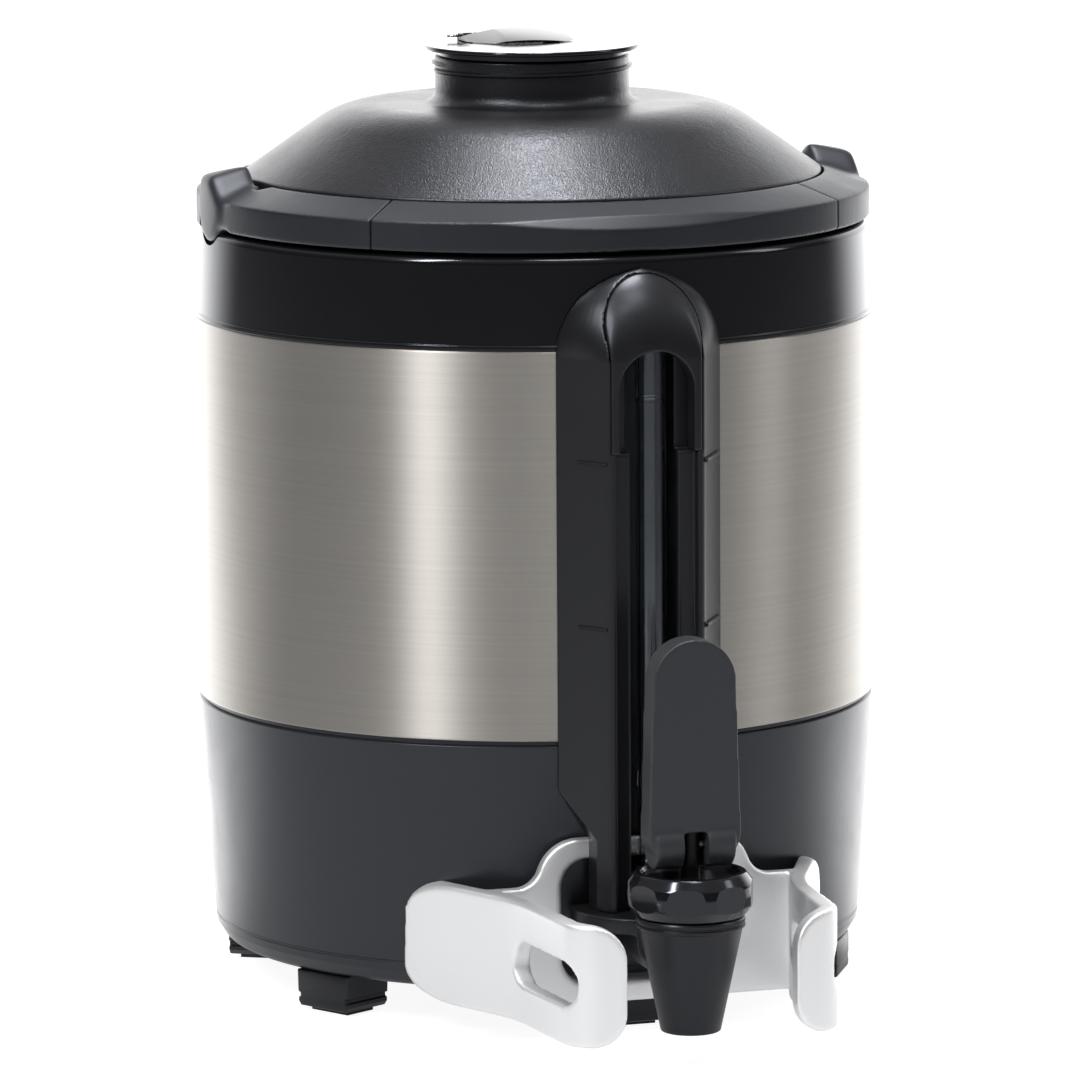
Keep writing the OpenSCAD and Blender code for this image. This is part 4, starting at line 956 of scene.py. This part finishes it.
class SERVER_OT_faucet(bpy.types.Operator):
    """Faucet: spout with ribs, bonnet with oval flats, the paddle and the coil"""
    bl_idname = "server.faucet"
    bl_label = "Faucet"

    def execute(self, context):
        settle(self.spout(), "server", "black_satin", "satin", "faucet_body")
        settle(self.bonnet(), "server", "black_gloss", "gloss", "faucet_bonnet", angle=14)
        paddle = softened("paddle_moulding", "faucet_handle", 0.5, 12, 0.4)
        settle(paddle, "handle", "charcoal_plastic", "paddle", "faucet_handle", angle=60)
        coil = copied("faucet_coil", "faucet_spring")
        settle(coil, "server", "plain_steel", "turned", "faucet_spring", angle=60)
        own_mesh(coil)
        return {"FINISHED"}

    def spout(self):
        """Spout with ribs under the bonnet, and a branch to the body."""
        tip, neck_h = SPOUT_LOW.z, 8
        top = SPOUT_HIGH.z - neck_h
        bore, chamber, seat, neck, rib, ring = 6.5, 11, 29, 13.5, 16.9, 17.35
        outline = rounded([
            (bore, tip, 0.5), (9.5, tip, 0.7), (16.55, top - 3.7, 0), (16.95, top - 3.4, 0.2),
            (ring, top - 3.1, 0.2), (ring, top - 2.4, 0.2), (rib, top - 2.2, 0.1), (rib, top - 1.8, 0.1),
            (ring, top - 1.5, 0.2), (ring, top - 0.6, 0.2), (17.0, top, 0.2), (neck, top, 0),
            (neck, top + neck_h, 0), (chamber, top + neck_h, 0), (chamber, seat, 0), (bore, seat, 0)])
        body = lathe("spout_body", outline, centre_y=FAUCET_Y, steps=128)
        side_z, branch_r = 35.5, 11.4
        branch = bar("branch", branch_r, (0, SPOUT_HIGH.y - 0.1, side_z), (0, FAUCET_Y + 14, side_z))
        return joined("spout_body", [body, branch])

    def bonnet(self):
        """Bulging bonnet that flat cuts give its ovals."""
        low, high, radius = BONNET_LOW.z, BONNET_HIGH.z, BONNET_HIGH.x
        middle = (low + high) / 2
        stem_r, thread_r, thread_h, flats = 3.05, 13.6, 9, 8
        outline = rounded([
            (stem_r, low + thread_h, 0), (stem_r, high - 1.6, 0), (radius - 5.2, high - 1.6, 0.4),
            (radius - 4.6, high, 0.5), (radius - 3.0, high, 1.4), (radius - 0.4, high - 3.6, 2.0),
            (radius, middle, 8.0), (radius - 0.4, low + 3.6, 2.0), (radius - 3.2, low, 1.2),
            (thread_r, low, 0), (thread_r, low + thread_h, 0)])
        bonnet = lathe("gloss_bonnet", outline, centre_y=FAUCET_Y, steps=192)
        flat_r = (radius - 1.05) / math.cos(math.pi / flats)
        deselect()
        bpy.ops.mesh.primitive_cylinder_add(vertices=flats, radius=flat_r * MM, depth=60 * MM,
                                            location=Vector((0, FAUCET_Y, middle)) * MM)
        cut(bonnet, named("flats"), "INTERSECT")
        return bonnet


class SERVER_OT_inner(bpy.types.Operator):
    """Finishes of the pieces that keep their CAD shape"""
    bl_idname = "server.inner"
    bl_label = "Inner pieces"

    def execute(self, context):
        kept = {
            "turned": ("base_screws", "inner_vessel", "outlet_shank", "shank_nut", "gauge_screws",
                       "guard_screws", "handle_pin", "bail_pins", "flap_pin"),
            "rubber": ("foot_pads", "shank_seal", "gauge_seals"),
            "silicone": ("seat_cup", "lid_gasket", "stopper_seal"),
            "satin": ("base_plate", "lid_liner", "brew_tube"),
            "dark": ("faucet_stem",),
            "foam": ("insulation_jacket",),
        }
        for finish, nodes in kept.items():
            for node in nodes:
                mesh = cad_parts[node].data
                mesh.materials.clear()
                mesh.materials.append(finishes()[finish])
        return {"FINISHED"}


# Stage: height that lights aim at, where the table and the back wall fade out, and how bright the floor looks
AIM_Z, TABLE_EDGE, WALL_EDGE, FLOOR_SEEN = 0.16, (0.5, 1.2), (0.45, 0.85), 0.92


class SERVER_OT_stage(bpy.types.Operator):
    """Pale floor, white surround, soft boxes and the camera"""
    bl_idname = "server.stage"
    bl_label = "Stage"

    def execute(self, context):
        stage = context.scene.server_stage
        self.floor(stage)
        self.surround(stage)
        self.camera(stage)
        self.soft_box("left_strip", (-1.45, -0.90, 1.75), 0.22, 1.2, 34)
        self.soft_box("front_box", (0.03, -0.80, 2.0), 0.5, 0.5, 8)
        self.soft_box("right_box", (2.1, -0.7, 1.3), 0.5, 1.2, 8)
        self.soft_box("top_box", (0.08, 0.20, 2.1), 0.5, 0.5, 28)
        context.scene.view_settings.view_transform = "Standard"
        return {"FINISHED"}

    def behind(self, tree, place, stage, start, end):
        """One behind the server as the camera sees it, nought in front, with a soft change between."""
        away = Vector((math.sin(stage.camera_turn), math.cos(stage.camera_turn), 0))
        flat = add(tree, "VectorMath", {0: place}, operation="NORMALIZE").outputs[0]
        depth = add(tree, "VectorMath", {0: flat, 1: away}, operation="DOT_PRODUCT").outputs["Value"]
        return ramp(tree, depth, start, end)

    def floor(self, stage):
        """Floor that looks white to the camera, and lights the server mostly from behind."""
        deselect()
        bpy.ops.mesh.primitive_plane_add(size=16)
        floor = named("floor")
        material, tree, shader = shaded("pale_floor", roughness=0.9, emission_color=(1, 1, 1, 1))
        place = add(tree, "TexCoord").outputs["Object"]
        tint = mixed_colour(tree, noise(tree, place, 0.6), (0.29, 0.29, 0.29, 1), (0.31, 0.31, 0.31, 1))
        reach = add(tree, "VectorMath", {0: place}, operation="LENGTH").outputs["Value"]
        table = mixed(tree, self.behind(tree, place, stage, -0.1, 0.6), stage.table, stage.back_wall)
        close = maths(tree, "MULTIPLY", ramp(tree, reach, *TABLE_EDGE, 1, 0), table)
        far = maths(tree, "MULTIPLY", self.behind(tree, place, stage, *WALL_EDGE), stage.back_wall)
        eye = add(tree, "LightPath").outputs["Is Camera Ray"]
        glow = mixed(tree, eye, maths(tree, "MAXIMUM", close, far), FLOOR_SEEN)
        fill(tree, shader, {"Base Color": tint, "Emission Strength": glow})
        floor.data.materials.append(material)

    def surround(self, stage):
        """White behind the server, darker in front; plain white where the camera looks."""
        world = bpy.data.worlds.new("studio")
        bpy.context.scene.world = world
        world.use_nodes = True
        tree = world.node_tree
        look = add(tree, "TexCoord").outputs["Generated"]
        height = add(tree, "SeparateXYZ", {0: look}).outputs["Z"]
        front = ramp(tree, height, 0.2, 0.8, 0.08, stage.front_top)
        wall = ramp(tree, height, 0.25, 0.6, stage.back_wall, 0.2)
        back = maths(tree, "MULTIPLY", wall, self.behind(tree, look, stage, *WALL_EDGE))
        eye = add(tree, "LightPath").outputs["Is Camera Ray"]
        level = maths(tree, "MAXIMUM", maths(tree, "MAXIMUM", front, back), eye)
        fill(tree, tree.nodes["Background"], {"Strength": level, "Color": (1, 1, 1, 1)})

    def camera(self, stage):
        """Camera that sees the server as the photograph does."""
        data = bpy.data.cameras.new("camera")
        data.lens = stage.focal_length
        camera = placed("camera", data)
        camera.matrix_world = (Matrix.Translation(stage.camera_place)
                               @ Matrix.Rotation(-stage.camera_turn, 4, "Z")
                               @ Matrix.Rotation(math.pi / 2 - stage.camera_pitch, 4, "X")
                               @ Matrix.Rotation(stage.camera_roll, 4, "Z"))
        bpy.context.scene.camera = camera

    def soft_box(self, name, place, width, height, power):
        """Area light that faces the middle of the server."""
        data = bpy.data.lights.new(name, "AREA")
        data.shape = "RECTANGLE"
        data.size, data.size_y = width, height
        data.energy = power
        light = placed(name, data)
        aim = Vector((0, 0, AIM_Z)) - Vector(place)
        light.matrix_world = Matrix.Translation(place) @ aim.to_track_quat("-Z", "Y").to_matrix().to_4x4()


OPERATORS = (SERVER_OT_base, SERVER_OT_feet, SERVER_OT_shell, SERVER_OT_collar, SERVER_OT_rear_rim,
             SERVER_OT_bail, SERVER_OT_lid, SERVER_OT_stopper, SERVER_OT_gauge, SERVER_OT_guard,
             SERVER_OT_faucet, SERVER_OT_inner, SERVER_OT_stage)
SETTINGS = {"server_sizes": ServerSizes, "server_colours": ServerColours, "server_stage": StageSettings}


class SERVER_PT_panel(bpy.types.Panel):
    """Sidebar panel that lists the server's settings and steps"""
    bl_idname = "SERVER_PT_panel"
    bl_label = "Coffee Server"
    bl_space_type = "VIEW_3D"
    bl_region_type = "UI"
    bl_category = "Coffee Server"

    def draw(self, context):
        for settings in (getattr(context.scene, name) for name in SETTINGS):
            for name in settings.bl_rna.properties.keys():
                if name not in ("rna_type", "name"):
                    self.layout.prop(settings, name)
        for operator in OPERATORS:
            self.layout.operator(operator.bl_idname)


CLASSES = (*SETTINGS.values(), *OPERATORS, SERVER_PT_panel)


def register():
    for each in CLASSES:
        bpy.utils.register_class(each)
    for name, kind in SETTINGS.items():
        setattr(bpy.types.Scene, name, bpy.props.PointerProperty(type=kind))


def unregister():
    for name in SETTINGS:
        delattr(bpy.types.Scene, name)
    for each in reversed(CLASSES):
        bpy.utils.unregister_class(each)


def main():
    register()
    for operator in OPERATORS:
        family, name = operator.bl_idname.split(".")
        getattr(getattr(bpy.ops, family), name)()


if __name__ == "__main__":
    main()
